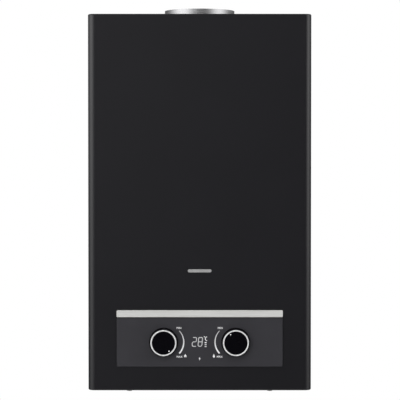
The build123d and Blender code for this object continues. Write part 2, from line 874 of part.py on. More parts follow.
def solenoid():
    """Coil that closes the poppet bore."""
    flange = gas_left - solenoid_flange_depth
    can = flange - solenoid_length
    spigot = poppet_bore_radius - seat_gap
    unit = bar((gas_left, valve_y, knob_z), (gas_left + solenoid_spigot, valve_y, knob_z), spigot)
    unit += bar((flange, valve_y, knob_z), (gas_left, valve_y, knob_z), solenoid_flange_radius)
    unit += bar((can, valve_y, knob_z), (flange, valve_y, knob_z), solenoid_radius)
    cap = can - solenoid_cap_length
    return unit + bar((cap, valve_y, knob_z), (can, valve_y, knob_z), solenoid_cap_radius)


def water_valve_body():
    """Brass casting with one half of the diaphragm chamber."""
    height = (knob_z - water_rise, knob_z + water_rise)
    body = block((water_left, water_right), (water_front, valve_back), height)
    body = fillet(body.edges(), casting_radius) + valve_feet(knob_x)
    overlap = water_left + casting_radius
    body += bar((flange_left, valve_y, knob_z), (overlap, valve_y, knob_z), diaphragm_radius)
    body += bar((water_right - casting_radius, valve_y, knob_z), (water_outlet_end, valve_y, knob_z),
                water_outlet_radius)
    body -= plug_bore(knob_x, water_front)
    body -= bar((flange_left, valve_y, knob_z), (flange_left + flange_chamber_depth, valve_y, knob_z),
                chamber_bore_radius)
    rim = knob_z - diaphragm_radius
    body -= bar((drain_x, valve_y, rim - cut_overrun), (drain_x, valve_y, rim + drain_bore_depth),
                drain_stem_radius + running_gap)
    for y, z in screw_circle():
        bite = flange_left + clamp_screw_bite
        body -= bar((flange_left, y, z), (bite, y, z), clamp_screw_radius + seat_gap)
    return body


def diaphragm_cover():
    """Domed half of the diaphragm chamber with a guide for the plunger rod."""
    dome = bar((dome_left, valve_y, knob_z), (diaphragm_left, valve_y, knob_z), diaphragm_radius)
    dome = fillet(dome.edges().group_by(Axis.X)[0], dome_edge_radius)
    dome += bar((neck_left, valve_y, knob_z), (dome_left, valve_y, knob_z), neck_radius)
    ceiling = dome_left + dome_wall
    dome -= bar((ceiling, valve_y, knob_z), (diaphragm_left, valve_y, knob_z), chamber_bore_radius)
    dome -= bar((neck_left, valve_y, knob_z), (diaphragm_left, valve_y, knob_z), rod_radius + running_gap)
    for y, z in screw_circle():
        dome -= bar((neck_left, y, z), (diaphragm_left, y, z), clamp_screw_radius + seat_gap)
    return dome


def diaphragm():
    """Rubber disc clamped between the two halves of the chamber."""
    disc = bar((diaphragm_left, valve_y, knob_z), (flange_left, valve_y, knob_z), diaphragm_radius)
    for y, z in screw_circle():
        disc -= bar((diaphragm_left, y, z), (flange_left, y, z), clamp_screw_radius + seat_gap)
    return disc


def diaphragm_screws():
    """Cap screws round the rim of the diaphragm cover."""
    screws = []
    for y, z in screw_circle():
        head = bar((dome_left - clamp_screw_head_depth, y, z), (dome_left, y, z), clamp_screw_head_radius)
        bite = flange_left + clamp_screw_bite
        screws.append(head + bar((dome_left, y, z), (bite, y, z), clamp_screw_radius))
    return total(screws)


def plunger():
    """Plate against the diaphragm, with a rod that lifts the gas poppet and works the switch."""
    plate_right = diaphragm_left - moving_gap
    collar_left = lever_x + lever_sheet / 2 + moving_gap
    rod = bar((poppet_right - poppet_depth, valve_y, knob_z), (plate_right, valve_y, knob_z), rod_radius)
    plate_left = plate_right - rod_plate_depth
    rod += bar((plate_left, valve_y, knob_z), (plate_right, valve_y, knob_z), rod_plate_radius)
    return rod + bar((collar_left, valve_y, knob_z), (collar_left + rod_collar_depth, valve_y, knob_z),
                     rod_collar_radius)


def drain_plug():
    """Fluted hand plug under the diaphragm chamber."""
    rim = knob_z - diaphragm_radius
    grip = case_bottom + drain_grip_bottom
    grip_top = grip + drain_grip_height
    stem_top = rim + drain_bore_depth - moving_gap
    plug = bar((drain_x, valve_y, grip), (drain_x, valve_y, grip_top), drain_grip_radius)
    for place in range(drain_flute_count):
        turn = math.tau * place / drain_flute_count
        flute = (drain_x + drain_grip_radius * math.cos(turn), valve_y + drain_grip_radius * math.sin(turn))
        plug -= bar((*flute, grip), (*flute, grip_top), drain_flute_radius)
    return plug + bar((drain_x, valve_y, grip_top), (drain_x, valve_y, stem_top), drain_stem_radius)


def microswitch():
    """Switch body on the side of the gas valve, slotted for its lever."""
    bottom = knob_z + switch_bottom_rise
    width = (valve_y - switch_half_width, valve_y + switch_half_width)
    body = block((gas_right, gas_right + switch_length), width, (bottom, bottom + switch_height))
    body = fillet(body.edges().filter_by(Axis.Y), switch_corner)
    slot = lever_half_width + lever_slot_gap
    body -= block((lever_x - lever_slot_reach, lever_x + lever_slot_reach), (valve_y - slot, valve_y + slot),
                  (bottom, lever_pivot_z + lever_slot_rise))
    return body - bar((lever_x, width[0], lever_pivot_z), (lever_x, width[1], lever_pivot_z),
                      lever_pin_radius + running_gap)


def switch_lever():
    """Swinging lever on a cross pin."""
    width = (valve_y - lever_half_width, valve_y + lever_half_width)
    arm = block((lever_x - lever_sheet / 2, lever_x + lever_sheet / 2), width,
                (lever_pivot_z - lever_arm, lever_pivot_z))
    arm += bar((lever_x, width[0], lever_pivot_z), (lever_x, width[1], lever_pivot_z), lever_hub_radius)
    ends = (valve_y - switch_half_width, valve_y + switch_half_width)
    return arm + bar((lever_x, ends[0], lever_pivot_z), (lever_x, ends[1], lever_pivot_z), lever_pin_radius)


def valve_bracket():
    """Bent channel that holds both valve bodies off the back plate."""
    height = (knob_z - bracket_half_height, knob_z + bracket_half_height)
    web = block((gas_left, water_right), (web_front, web_front + bracket_sheet), height)
    web += block((gas_left, gas_left + bracket_sheet), (web_front, back_front), height)
    web += block((water_right - bracket_sheet, water_right), (web_front, back_front), height)
    foot = (back_front - bracket_sheet, back_front)
    web += block((gas_left - bracket_foot, gas_left), foot, height)
    return web + block((water_right, water_right + bracket_foot), foot, height)


def fitting(x, y, top):
    """Male connector with a hexagon under the bottom plate and a stem above it."""
    shoulder = fitting_bottom + fitting_length
    body = bar((x, y, fitting_bottom), (x, y, shoulder), fitting_radius)
    body += hexagon((x, y, shoulder), (x, y, bottom_z), fitting_hex_flats)
    body += bar((x, y, bottom_z), (x, y, top), fitting_stem_radius)
    bore_top = fitting_bottom + fitting_bore_depth
    return body - bar((x, y, fitting_bottom), (x, y, bore_top), fitting_bore_radius)


def gas_inlet():
    """Gas connector up to the valve."""
    return fitting(-knob_x, valve_y, knob_z - gas_rise)


def cold_inlet():
    """Cold-water connector up to the water valve."""
    return fitting(knob_x, valve_y, knob_z - water_rise)


def inlet_strainer():
    """Cup filter in the mouth of the cold-water connector."""
    cup = fitting_bore_radius - seat_gap
    top = fitting_bottom + strainer_length
    body = bar((knob_x, valve_y, fitting_bottom), (knob_x, valve_y, top), cup)
    ceiling = top - strainer_wall
    return body - bar((knob_x, valve_y, fitting_bottom), (knob_x, valve_y, ceiling), cup - strainer_wall)


def hot_pipe():
    """Pipe from the heat exchanger down to the hot-water connector."""
    joint = bottom_top + nut_height
    outlet = tube_places[-1]
    route = [(hot_x, outlet, tube_inlet_z), (hot_x, outlet, case_bottom + hot_offset_top),
             (hot_outlet_x, hot_outlet_y, case_bottom + hot_offset_bottom),
             (hot_outlet_x, hot_outlet_y, joint)]
    return fitting(hot_outlet_x, hot_outlet_y, joint) + pipe(route, tube_radius, hot_bend)


def pipe_nuts():
    """Three nuts that clamp the connectors to the bottom plate."""
    nuts = []
    nut_top = bottom_top + nut_height
    for x, y in ((-knob_x, valve_y), (knob_x, valve_y), (hot_outlet_x, hot_outlet_y)):
        nut = hexagon((x, y, bottom_top), (x, y, nut_top), nut_flats)
        nuts.append(nut - bar((x, y, bottom_top), (x, y, nut_top), fitting_stem_radius + seat_gap))
    return total(nuts)


def chamber_outline():
    """Rounded plan of the chamber and of the burner frame."""
    return Pos(0, chamber_mid) * RectangleRounded(2 * chamber_half, chamber_depth, chamber_corner)


def burner_frame():
    """Sheet frame with ledges for the blades and arms back to the back plate."""
    outline = chamber_outline()
    height = (frame_bottom, frame_top)
    frame = level(outline - offset(outline, -chamber_sheet), height)
    ledge = (frame_bottom, frame_bottom + burner_ledge_sheet)
    gap = chamber_depth - 2 * burner_ledge_width
    frame += level(outline - Pos(0, chamber_mid) * Rectangle(2 * row_half, gap), ledge)
    arm_z = frame_bottom + burner_arm_rise
    for way in (-1, 1):
        middle = way * (chamber_half - burner_arm_inset)
        span = (middle - burner_arm_width / 2, middle + burner_arm_width / 2)
        frame += block(span, (chamber_rear, back_front), (arm_z, arm_z + burner_arm_sheet))
        frame += block(span, (back_front - burner_arm_sheet, back_front), (arm_z - burner_arm_foot, arm_z))
    reach = (chamber_front - cut_overrun, chamber_front + chamber_sheet + cut_overrun)
    for x in blade_places:
        frame -= upright(Pos(x, nozzle_z) * Circle(nozzle_radius + nozzle_hole_gap), reach)
    return frame


def burner_blades():
    """Row of flat burners: a mixing duct below, a port head above, joined at the rear."""
    foot = frame_bottom + burner_ledge_sheet
    head = frame_top - blade_top_gap
    mouth = chamber_front + blade_front_gap
    tail = chamber_rear - blade_rear_gap
    slot_z = foot + blade_duct_height
    half = blade_width / 2
    blade = block((-half, half), (mouth, tail), (foot, head))
    slot = block((-half, half), (mouth, tail - blade_slot_end), (slot_z, slot_z + blade_slot_height))
    blade -= fillet(slot.edges().filter_by(Axis.X).group_by(Axis.Y)[-1], blade_slot_height / 2 - seat_gap)
    shoulder = head - blade_taper_height
    slope = Polygon((half, shoulder), (half, head), (blade_port_width / 2, head), align=None)
    for way in (slope, mirror(slope, about=Plane.YZ)):
        blade -= upright(way, (mouth, tail))
    port_pitch = (tail - mouth) / port_count
    for place in range(port_count):
        middle = mouth + port_pitch * (place + 1 / 2)
        port = (middle - port_length / 2, middle + port_length / 2)
        blade -= block((-blade_port_width / 4, blade_port_width / 4), port, (head - port_depth, head))
    return total([Pos(x, 0, 0) * blade for x in blade_places])


def gas_manifold():
    """Rounded gas rail along the front of the burner frame."""
    half = row_half + manifold_overhang
    rail = block((-half, half), (chamber_front - manifold_depth, chamber_front),
                 (nozzle_z - manifold_half_height, nozzle_z + manifold_half_height))
    return fillet(rail.edges().filter_by(Axis.X), manifold_corner)


def gas_nozzles():
    """Jets from the gas rail into the burner ducts."""
    shank = chamber_front + nozzle_length
    tip = shank + nozzle_tip_length
    jet = bar((0, chamber_front, nozzle_z), (0, shank, nozzle_z), nozzle_radius)
    cone = loft([Plane(origin=(0, shank, nozzle_z), z_dir=(0, 1, 0)) * Circle(nozzle_radius),
                 Plane(origin=(0, tip, nozzle_z), z_dir=(0, 1, 0)) * Circle(nozzle_tip_radius)])
    return total([Pos(x, 0, 0) * (jet + cone) for x in blade_places])


def gas_feed():
    """Bent pipe from the gas valve up to the rail."""
    rail_y = chamber_front - manifold_depth / 2
    route = [(gas_outlet_x, gas_front - gas_outlet_length, gas_outlet_z),
             (gas_outlet_x, rail_y, gas_outlet_z),
             (gas_outlet_x, rail_y, nozzle_z - manifold_half_height)]
    return pipe(route, feed_radius, feed_bend)


def combustion_chamber():
    """Copper shell with a viewing hole, electrode holes and holes for the exchanger tubes."""
    outline = chamber_outline()
    shell = level(outline - offset(outline, -chamber_sheet), (frame_top, chamber_top))
    reach = (chamber_front - cut_overrun, chamber_front + chamber_sheet + cut_overrun)
    shell -= upright(Pos(0, slit_z) * SlotOverall(window_length, window_width - window_border), reach)
    for x in electrode_offsets:
        shell -= upright(Pos(x, electrode_z) * Circle(insulator_radius + seat_gap), reach)
    for y in tube_places:
        shell -= bar((-side, y, tube_z), (side, y, tube_z), tube_radius + seat_gap)
    return shell


def exchanger_fins():
    """Thin plates across the exchanger tubes."""
    rim = chamber_sheet + fin_edge_gap
    half = fin_sheet / 2
    height = (fin_bottom, fin_bottom + fin_height)
    fin = block((-half, half), (chamber_front + rim, chamber_rear - rim), height)
    for y in tube_places:
        fin -= bar((-half, y, tube_z), (half, y, tube_z), tube_radius + seat_gap)
    return total([Pos(fin_pitch * place - row_half, 0, 0) * fin for place in range(fin_count)])


def exchanger_tube():
    """One tube that runs to and fro through the fins."""
    route = [(tube_turn_x, tube_places[0], tube_inlet_z), (tube_turn_x, tube_places[0], tube_z)]
    way = -1
    for near, far in zip(tube_places[:-1], tube_places[1:]):
        route += [(way * tube_turn_x, near, tube_z), (way * tube_turn_x, far, tube_z)]
        way = -way
    route += [(hot_x, tube_places[-1], tube_z), (hot_x, tube_places[-1], tube_inlet_z)]
    turns = [(tube_pitch - tube_bend_flat) / 2] * (2 * (tube_count - 1))
    return pipe(route, tube_radius, [hot_bend, *turns, hot_bend])


def chamber_coil():
    """Water tube wrapped round the chamber on its way to the exchanger."""
    quarter = coil_pitch / 4
    corners = [(coil_x, coil_rear), (-coil_x, coil_rear), (-coil_x, coil_front), (coil_x, coil_front)]
    route = [(coil_x, valve_y, coil_start - coil_tail), (coil_x, valve_y, coil_start)]
    wraps = corners * coil_turns
    wraps[-1] = (tube_turn_x, coil_front)
    route += [(x, y, coil_start + quarter * (place + 1)) for place, (x, y) in enumerate(wraps)]
    end_z = coil_start + quarter * len(wraps)
    route += [(tube_turn_x, tube_places[0], end_z), (tube_turn_x, tube_places[0], tube_inlet_z)]
    bends = [riser_bend, *[coil_bend] * (len(wraps) - 1), coil_end_bend, coil_end_bend]
    return pipe(route, coil_radius, bends)


def cold_riser():
    """Pipe from the water valve up to the coil."""
    route = [(water_outlet_end, valve_y, knob_z), (coil_x, valve_y, knob_z),
             (coil_x, valve_y, coil_start - coil_tail)]
    return pipe(route, coil_radius, riser_bend)


def electrode_plate():
    """Plate on the chamber's front that holds the electrodes."""
    span = (electrode_offsets[0] - electrode_plate_margin, electrode_offsets[-1] + electrode_plate_margin)
    height = (electrode_z - electrode_plate_half_height, electrode_z + electrode_plate_half_height)
    reach = (chamber_front - electrode_plate_sheet, chamber_front)
    plate = block(span, reach, height)
    for x in electrode_offsets:
        plate -= upright(Pos(x, electrode_z) * Circle(insulator_radius + seat_gap), reach)
    return plate


def electrode_insulators():
    """Ceramic sleeves through the chamber's front wall."""
    outer = chamber_front - electrode_plate_sheet
    run = (outer - insulator_outside, chamber_front + insulator_inside)
    insulators = []
    for x in electrode_offsets:
        spot = Pos(x, electrode_z)
        body = upright(spot * Circle(insulator_radius), run)
        body += upright(spot * Circle(insulator_collar_radius), (outer - insulator_collar_depth, outer))
        insulators.append(body - upright(spot * Circle(electrode_radius + seat_gap), run))
    return total(insulators)


def electrode_rods():
    """Metal rods through the ceramic sleeves."""
    outer = chamber_front - electrode_plate_sheet - insulator_outside - electrode_outside
    inner = chamber_front + insulator_inside + electrode_inside
    return total([upright(Pos(x, electrode_z) * Circle(electrode_radius), (outer, inner))
                  for x in electrode_offsets])


def spill_thermostat():
    """Disc thermostat on the front of the draft hood."""
    z = chamber_top + spill_rise
    back = chamber_front - thermostat_plate_sheet
    plate = Rectangle(thermostat_plate_width, thermostat_plate_height)
    spot = Pos(spill_offset, z)
    disc_front = back - thermostat_depth
    unit = upright(spot * plate, (back, chamber_front))
    unit += upright(spot * Circle(thermostat_radius), (disc_front, back))
    cap = (disc_front - thermostat_cap_depth, disc_front)
    return unit + upright(spot * Circle(thermostat_cap_radius), cap)


def overheat_thermostat():
    """Disc thermostat on a saddle clipped round the hot pipe."""
    y = tube_places[-1]
    z = tube_inlet_z - overheat_drop
    half = tube_radius + overheat_clip_wall
    saddle = block((hot_x - half, hot_x + half), (y - half, y + half), (z, z + overheat_clip_height))
    saddle -= bar((hot_x, y, z), (hot_x, y, z + overheat_clip_height), tube_radius + seat_gap)
    disc_z = z + overheat_clip_height / 2
    face = y - half
    return saddle + upright(Pos(hot_x, disc_z) * Circle(thermostat_radius), (face - thermostat_depth, face))


def ignition_module():
    """Potted spark unit on the back plate, with ears and towers for the leads."""
    span = (module_left, module_right)
    bottom = case_bottom + module_bottom
    body = block(span, (back_front - module_depth, back_front), (bottom, module_top))
    body = fillet(body.edges().filter_by(Axis.Z), module_corner)
    ears = (bottom - module_ear, module_top + module_ear)
    body += block(span, (back_front - module_ear_sheet, back_front), ears)
    tower_top = module_top + module_tower_length
    for x in tower_places:
        body += bar((x, tower_y, module_top), (x, tower_y, tower_top), module_tower_radius)
    return body


def electrode_leads():
    """Insulated leads with right-angle boots, from the electrodes round the right side to the spark unit."""
    leads = []
    boot = (boot_front, boot_front + lead_boot_length)
    tower_top = module_top + module_tower_length
    for place, (x, tower_x) in enumerate(zip(electrode_offsets, tower_places)):
        run_z = electrode_z - lead_drop + lead_step * (place - 1)
        side_x = side - cover_sheet - lead_side_gap + lead_step * (place - 2)
        route = [(x, boot_y, electrode_z - electrode_radius - lead_radius), (x, boot_y, run_z),
                 (side_x, boot_y, run_z), (side_x, -lead_turn_setback, run_z + lead_lift),
                 (tower_x, tower_y, tower_top + lead_arch), (tower_x, tower_y, tower_top)]
        lead = pipe(route, lead_radius, [lead_bend, lead_corner_bend, lead_side_bend, lead_bend])
        spot = Pos(x, electrode_z)
        lead += upright(spot * Circle(lead_boot_radius), boot)
        leads.append(lead - upright(spot * Circle(electrode_radius + seat_gap), boot))
    return total(leads)


def battery_box():
    """Box for two cells, open below, with a seating flange and hinge lugs."""
    outer_x = (battery_left, battery_right)
    outer_y = (battery_front, battery_rear)
    box = block(outer_x, outer_y, (battery_z, battery_ceiling + battery_roof))
    flange_x = (battery_left - battery_flange, battery_right + battery_flange)
    flange_y = (battery_front - battery_flange, battery_rear + battery_flange)
    box += block(flange_x, flange_y, (bottom_top, bottom_top + battery_flange_sheet))
    box -= block((battery_left + battery_wall, battery_right - battery_wall),
                 (battery_front + battery_wall, battery_rear - battery_wall), (battery_z, battery_ceiling))
    lug_y = (battery_rear, hinge_y + hinge_radius)
    lug_z = (hinge_z - hinge_radius, hinge_z + hinge_lug_rise)
    for edge in (battery_left, battery_right - hinge_lug_width):
        box += block((edge, edge + hinge_lug_width), lug_y, lug_z)
    return box - bar((battery_left, hinge_y, hinge_z), (battery_right, hinge_y, hinge_z),
                     hinge_pin_radius + running_gap)


def battery_door():
    """Hinged lid under the cells, with a knuckle, pins and a finger lip."""
    height = (door_top - door_sheet, door_top)
    plate = block((battery_left, battery_right), (battery_front, battery_rear), height)
    middle = (battery_left + battery_right) / 2
    plate += block((middle - door_lip_width / 2, middle + door_lip_width / 2),
                   (battery_front - door_lip, battery_front), height)
    knuckle = (battery_left + hinge_lug_width + moving_gap, battery_right - hinge_lug_width - moving_gap)
    for span in ((battery_left, knuckle[0]), (knuckle[1], battery_right)):
        plate -= block(span, (battery_rear - hinge_notch, battery_rear), height)
    plate += block(knuckle, (battery_rear, hinge_y), height)
    plate += bar((knuckle[0], hinge_y, hinge_z), (knuckle[1], hinge_y, hinge_z), hinge_radius)
    return plate + bar((knuckle[0] - hinge_pin_length, hinge_y, hinge_z),
                       (knuckle[1] + hinge_pin_length, hinge_y, hinge_z), hinge_pin_radius)


def door_contact():
    """Bridge plate on the door that joins the two cells."""
    return block((cell_places[0] - contact_half, cell_places[1] + contact_half),
                 (cell_y - contact_half, cell_y + contact_half), (door_top, door_top + contact_sheet))


def battery_cells():
    """Two round cells that stand in the box."""
    cells = []
    for x in cell_places:
        can_top = cell_z + cell_length
        cell = bar((x, cell_y, cell_z), (x, cell_y, can_top), cell_radius)
        cells.append(cell + bar((x, cell_y, can_top), (x, cell_y, cell_top), cell_pin_radius))
    return total(cells)


def battery_contacts():
    """Contact plates under the ceiling of the box."""
    width = (cell_y - contact_half, cell_y + contact_half)
    return total([block((x - contact_half, x + contact_half), width, (cell_top, battery_ceiling))
                  for x in cell_places])


pieces = {
    "front_cover": front_cover(),
    "back_plate": back_plate(),
    "bottom_plate": bottom_plate(),
    "cover_screws": cover_screws(),
    "flue_collar": flue_collar(),
    "draft_hood": draft_hood(),
    "viewing_window": viewing_window(),
    "window_frame": window_frame(),
    "panel_carrier": panel_carrier(),
    "panel_face": panel_face(),
    "trim_strip": trim_strip(),
    "display_unit": display_unit(),
    "display_board": display_board(),
    "flame_knob": knob_cap(-knob_x),
    "flame_knob_ring": knob_ring(-knob_x),
    "water_knob": knob_cap(knob_x),
    "water_knob_ring": knob_ring(knob_x),
    "gas_spindle": spindle(-knob_x, gas_front),
    "water_spindle": spindle(knob_x, water_front),
    "spindle_glands": spindle_glands(),
    "gas_valve_body": gas_valve_body(),
    "gas_poppet": gas_poppet(),
    "poppet_spring": poppet_spring(),
    "solenoid": solenoid(),
    "water_valve_body": water_valve_body(),
    "diaphragm_cover": diaphragm_cover(),
    "diaphragm": diaphragm(),
    "diaphragm_screws": diaphragm_screws(),
    "plunger": plunger(),
    "drain_plug": drain_plug(),
    "microswitch": microswitch(),
    "switch_lever": switch_lever(),
    "valve_bracket": valve_bracket(),
    "gas_inlet": gas_inlet(),
    "cold_inlet": cold_inlet(),
    "inlet_strainer": inlet_strainer(),
    "hot_pipe": hot_pipe(),
    "pipe_nuts": pipe_nuts(),
    "burner_frame": burner_frame(),
    "burner_blades": burner_blades(),
    "gas_manifold": gas_manifold(),
    "gas_nozzles": gas_nozzles(),
    "gas_feed": gas_feed(),
    "combustion_chamber": combustion_chamber(),
    "exchanger_fins": exchanger_fins(),
    "exchanger_tube": exchanger_tube(),
    "chamber_coil": chamber_coil(),
    "cold_riser": cold_riser(),
    "electrode_plate": electrode_plate(),
    "electrode_insulators": electrode_insulators(),
    "electrode_rods": electrode_rods(),
    "spill_thermostat": spill_thermostat(),
    "overheat_thermostat": overheat_thermostat(),
    "ignition_module": ignition_module(),
    "electrode_leads": electrode_leads(),
    "battery_box": battery_box(),
    "battery_door": battery_door(),
    "door_contact": door_contact(),
    "battery_cells": battery_cells(),
    "battery_contacts": battery_contacts(),
}

os.makedirs("parts", exist_ok=True)
for name, piece in pieces.items():
    export_step(piece, f"parts/{name}.step")
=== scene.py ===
import math
from collections import namedtuple

import bpy
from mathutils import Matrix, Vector


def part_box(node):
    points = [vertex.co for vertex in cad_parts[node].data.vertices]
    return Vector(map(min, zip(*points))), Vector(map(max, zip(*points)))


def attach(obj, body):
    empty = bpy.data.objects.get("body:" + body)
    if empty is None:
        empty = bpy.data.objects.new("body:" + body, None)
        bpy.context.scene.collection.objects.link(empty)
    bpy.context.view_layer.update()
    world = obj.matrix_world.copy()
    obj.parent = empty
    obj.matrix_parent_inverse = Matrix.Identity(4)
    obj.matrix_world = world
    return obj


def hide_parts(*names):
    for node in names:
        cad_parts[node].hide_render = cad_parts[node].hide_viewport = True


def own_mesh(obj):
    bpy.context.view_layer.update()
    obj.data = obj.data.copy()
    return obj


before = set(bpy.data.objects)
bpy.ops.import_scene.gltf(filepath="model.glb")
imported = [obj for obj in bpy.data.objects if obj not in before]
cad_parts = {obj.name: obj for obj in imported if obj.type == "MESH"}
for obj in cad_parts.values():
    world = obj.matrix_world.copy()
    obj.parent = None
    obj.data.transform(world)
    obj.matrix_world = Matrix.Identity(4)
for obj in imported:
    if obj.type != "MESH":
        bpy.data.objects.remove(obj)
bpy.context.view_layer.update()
case_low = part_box("front_cover")[0]
face_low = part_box("panel_face")[0]

bl_info = {
    "name": "Gas water heater finishes",
    "version": (1, 0, 0),
    "blender": (4, 5, 0),
    "location": "View3D > Sidebar > Heater",
    "description": "Finishes, panel prints and studio for a wall-hung gas water heater",
    "category": "3D View",
}

# Directions and turns
rightward = Vector((1.0, 0.0, 0.0))
quarter = math.radians(90.0)
upright = (quarter, 0.0, 0.0)

# Fineness of round shapes, and the sharpest edges that are shaded as smooth
scale_facets = 160
dot_facets = 32
wire_facets = 14
winding_steps = 48
bend_steps = 6
rounding_steps = 3
edge_samples = 6
coil_crease = math.radians(30.0)
dot_crease = math.radians(40.0)

# Points of a stroke that lie nearer than this share of its width are one point
merge_share = 0.01

# Ends of a dial scale from the level line, and shares of its radius below and above the knob where it fades
scale_low_turn = math.radians(43.0)
scale_high_turn = math.radians(-43.5)
fade_low_share = 0.66
fade_high_share = 0.72

# Capitals: their height in the typeface's size, their spacing, and how far each stroke grows to each side
capital_share = 0.70
letter_spacing = 1.08
boldness_share = 0.035

# Dots on the knobs: the cap's depth behind its ring, and the dot's own thickness and rounded rim
cap_recess = 0.0009
dot_depth = 0.0003
dot_rounding = 0.0001

# A connector thread's ridge in shares of its pitch and depth
ridge_base_share = 0.45
ridge_crest_share = 0.10
ridge_sunk_share = 0.2
thread_start_share = 0.6

# Places on the panel face are taken across from the middle and up from the casing's lower edge
Word = namedtuple("Word", "text across up")
Dial = namedtuple("Dial", "knob body dot dot_turn way shift words")
dials = (
    Dial(knob="flame_knob", body="flame_control", dot="flame_dot", dot_turn=math.radians(-56.0),
         way=1, shift=0.0053, words=(Word("MIN", -0.0306, 0.0928), Word("MAX", -0.0298, 0.0502))),
    Dial(knob="water_knob", body="water_control", dot="water_dot", dot_turn=math.radians(122.0),
         way=-1, shift=0.0061, words=(Word("MIN", 0.0303, 0.0928), Word("MAX", 0.0295, 0.0503))),
)

# Outlines of the signs, in shares of half their width and height
flame_shares = (
    (0.05, 1.0), (-0.18, 0.52), (-0.42, 0.12), (-0.56, 0.34), (-0.74, -0.12), (-0.80, -0.48),
    (-0.66, -0.80), (-0.38, -1.0), (-0.22, -0.62), (0.0, -0.28), (0.16, -0.62), (0.34, -1.0),
    (0.66, -0.80), (0.82, -0.46), (0.74, -0.08), (0.52, 0.30), (0.40, 0.10), (0.28, 0.56))
drop_side_shares = (
    (-0.22, 0.62), (-0.52, 0.16), (-0.82, -0.24), (-0.86, -0.54), (-0.66, -0.82), (-0.34, -0.97))
drop_shares = (
    (0.0, 1.0), *drop_side_shares, (0.0, -1.0), *((-across, up) for across, up in reversed(drop_side_shares)))
spark_shares = ((0.30, 1.0), (-0.62, -0.08), (-0.06, -0.08), (-0.34, -1.0), (0.62, 0.18), (0.06, 0.18))
Sign = namedtuple("Sign", "name shares across up width height")
signs = (
    Sign("flame_sign", flame_shares, across=-0.0213, up=0.0521, width=0.0046, height=0.0054),
    Sign("drop_sign", drop_shares, across=0.0210, up=0.0520, width=0.0039, height=0.0060),
    Sign("spark_sign", spark_shares, across=0.0, up=0.0474, width=0.0046, height=0.0062),
)

# Digits of the read-out
digit_foot = 0.0652
digit_width = 0.0057
digit_bend = 0.0017
digit_bowl = 0.0023
digit_waist_share = 0.51
two_left = -0.0114
two_lead = 0.0004
eight_left = -0.00265

# Degree mark of the read-out
ring_across = 0.0069
ring_up = 0.0805
ring_radius = 0.00055
ring_stroke = 0.00055
mark_across = 0.0110
mark_up = 0.0796
mark_tip = 0.0006
mark_bend = 0.0019
mark_back = 0.0014
mark_stroke_share = 0.9

# Level bars of the read-out
bar_across = 0.0073
bar_ups = (0.07135, 0.0685, 0.0656)
bar_length = 0.0029
bar_width = 0.0016
bar_rounding = 0.0005

# Studio: the lamps, each with the setting that holds its power, the camera and the floor
Lamp = namedtuple("Lamp", "name power spot width height")
lamps = (
    Lamp("key_lamp", "key_power", spot=(-0.35, -1.95, 0.1), width=1.3, height=1.6),
    Lamp("fill_lamp", "fill_power", spot=(1.85, -0.75, 0.0), width=1.2, height=2.0),
    Lamp("top_lamp", "top_power", spot=(0.0, -1.1, 1.6), width=1.4, height=0.8),
)
sensor_width = 36.0
view_depth = 50.0
floor_size = 16.0

# Light of the room and of the ground by bearing, from the front round by the left, the back and the right
room_levels = (
    (0.00, 0.06), (0.03, 0.15), (0.056, 0.28), (0.076, 0.45), (0.100, 0.78), (0.125, 0.97), (0.165, 1.00),
    (0.20, 0.98), (0.235, 0.74), (0.28, 0.40), (0.325, 0.15), (0.39, 0.05), (0.46, 0.05), (0.48, 0.45),
    (0.52, 0.45), (0.54, 0.05), (0.63, 0.08), (0.69, 0.14), (0.735, 0.40), (0.775, 0.76), (0.81, 0.90),
    (0.843, 0.80), (0.874, 0.54), (0.905, 0.24), (0.935, 0.07), (0.97, 0.02), (1.00, 0.04))
ground_levels = ((0.00, 0.04), (0.07, 0.04), (0.14, 0.36), (0.86, 0.36), (0.93, 0.04), (1.00, 0.04))

# Heights on the unit sphere between which the room's light comes up, sinks again and gives way to the ground
Slope = namedtuple("Slope", "first last start end")
room_rise = Slope(first=0.0, last=2.9, start=-0.15, end=0.14)
room_fall = Slope(first=1.0, last=0.25, start=0.16, end=0.42)
ground_share = Slope(first=0.0, last=1.0, start=-0.17, end=-0.30)


def colour_property(name, description, default):
    """A colour that a user may change."""
    return bpy.props.FloatVectorProperty(
        name=name, description=description, size=3, subtype="COLOR", min=0.0, max=1.0, default=default)


def length_property(name, description, default):
    """A length in metres that a user may change."""
    return bpy.props.FloatProperty(
        name=name, description=description, subtype="DISTANCE", unit="LENGTH", precision=5, default=default)


def share_property(name, description, default):
    """A number from nought to one that a user may change."""
    return bpy.props.FloatProperty(
        name=name, description=description, subtype="FACTOR", min=0.0, max=1.0, default=default)


def power_property(name, description, default):
    """A lamp's power that a user may change."""
    return bpy.props.FloatProperty(
        name=name, description=description, subtype="POWER", unit="POWER", default=default)


class HeaterCasingFinish(bpy.types.PropertyGroup):
    """Colours and gloss of the casing and the flue collar."""

    coat_colour: colour_property(
        "Coat", "Colour of the baked coat on the front cover", (0.0062, 0.0059, 0.0082))
    coat_roughness: share_property("Coat roughness", "Roughness of the baked coat", 0.34)
    zinc_colour: colour_property("Zinc", "Colour of the galvanised sheet", (0.56, 0.57, 0.58))
    collar_colour: colour_property("Collar", "Colour of the flue collar's steel", (0.55, 0.55, 0.56))
    collar_roughness: share_property("Collar roughness", "Roughness of the flue collar", 0.27)
    screw_colour: colour_property("Screws", "Colour of the plated screws", (0.58, 0.58, 0.57))


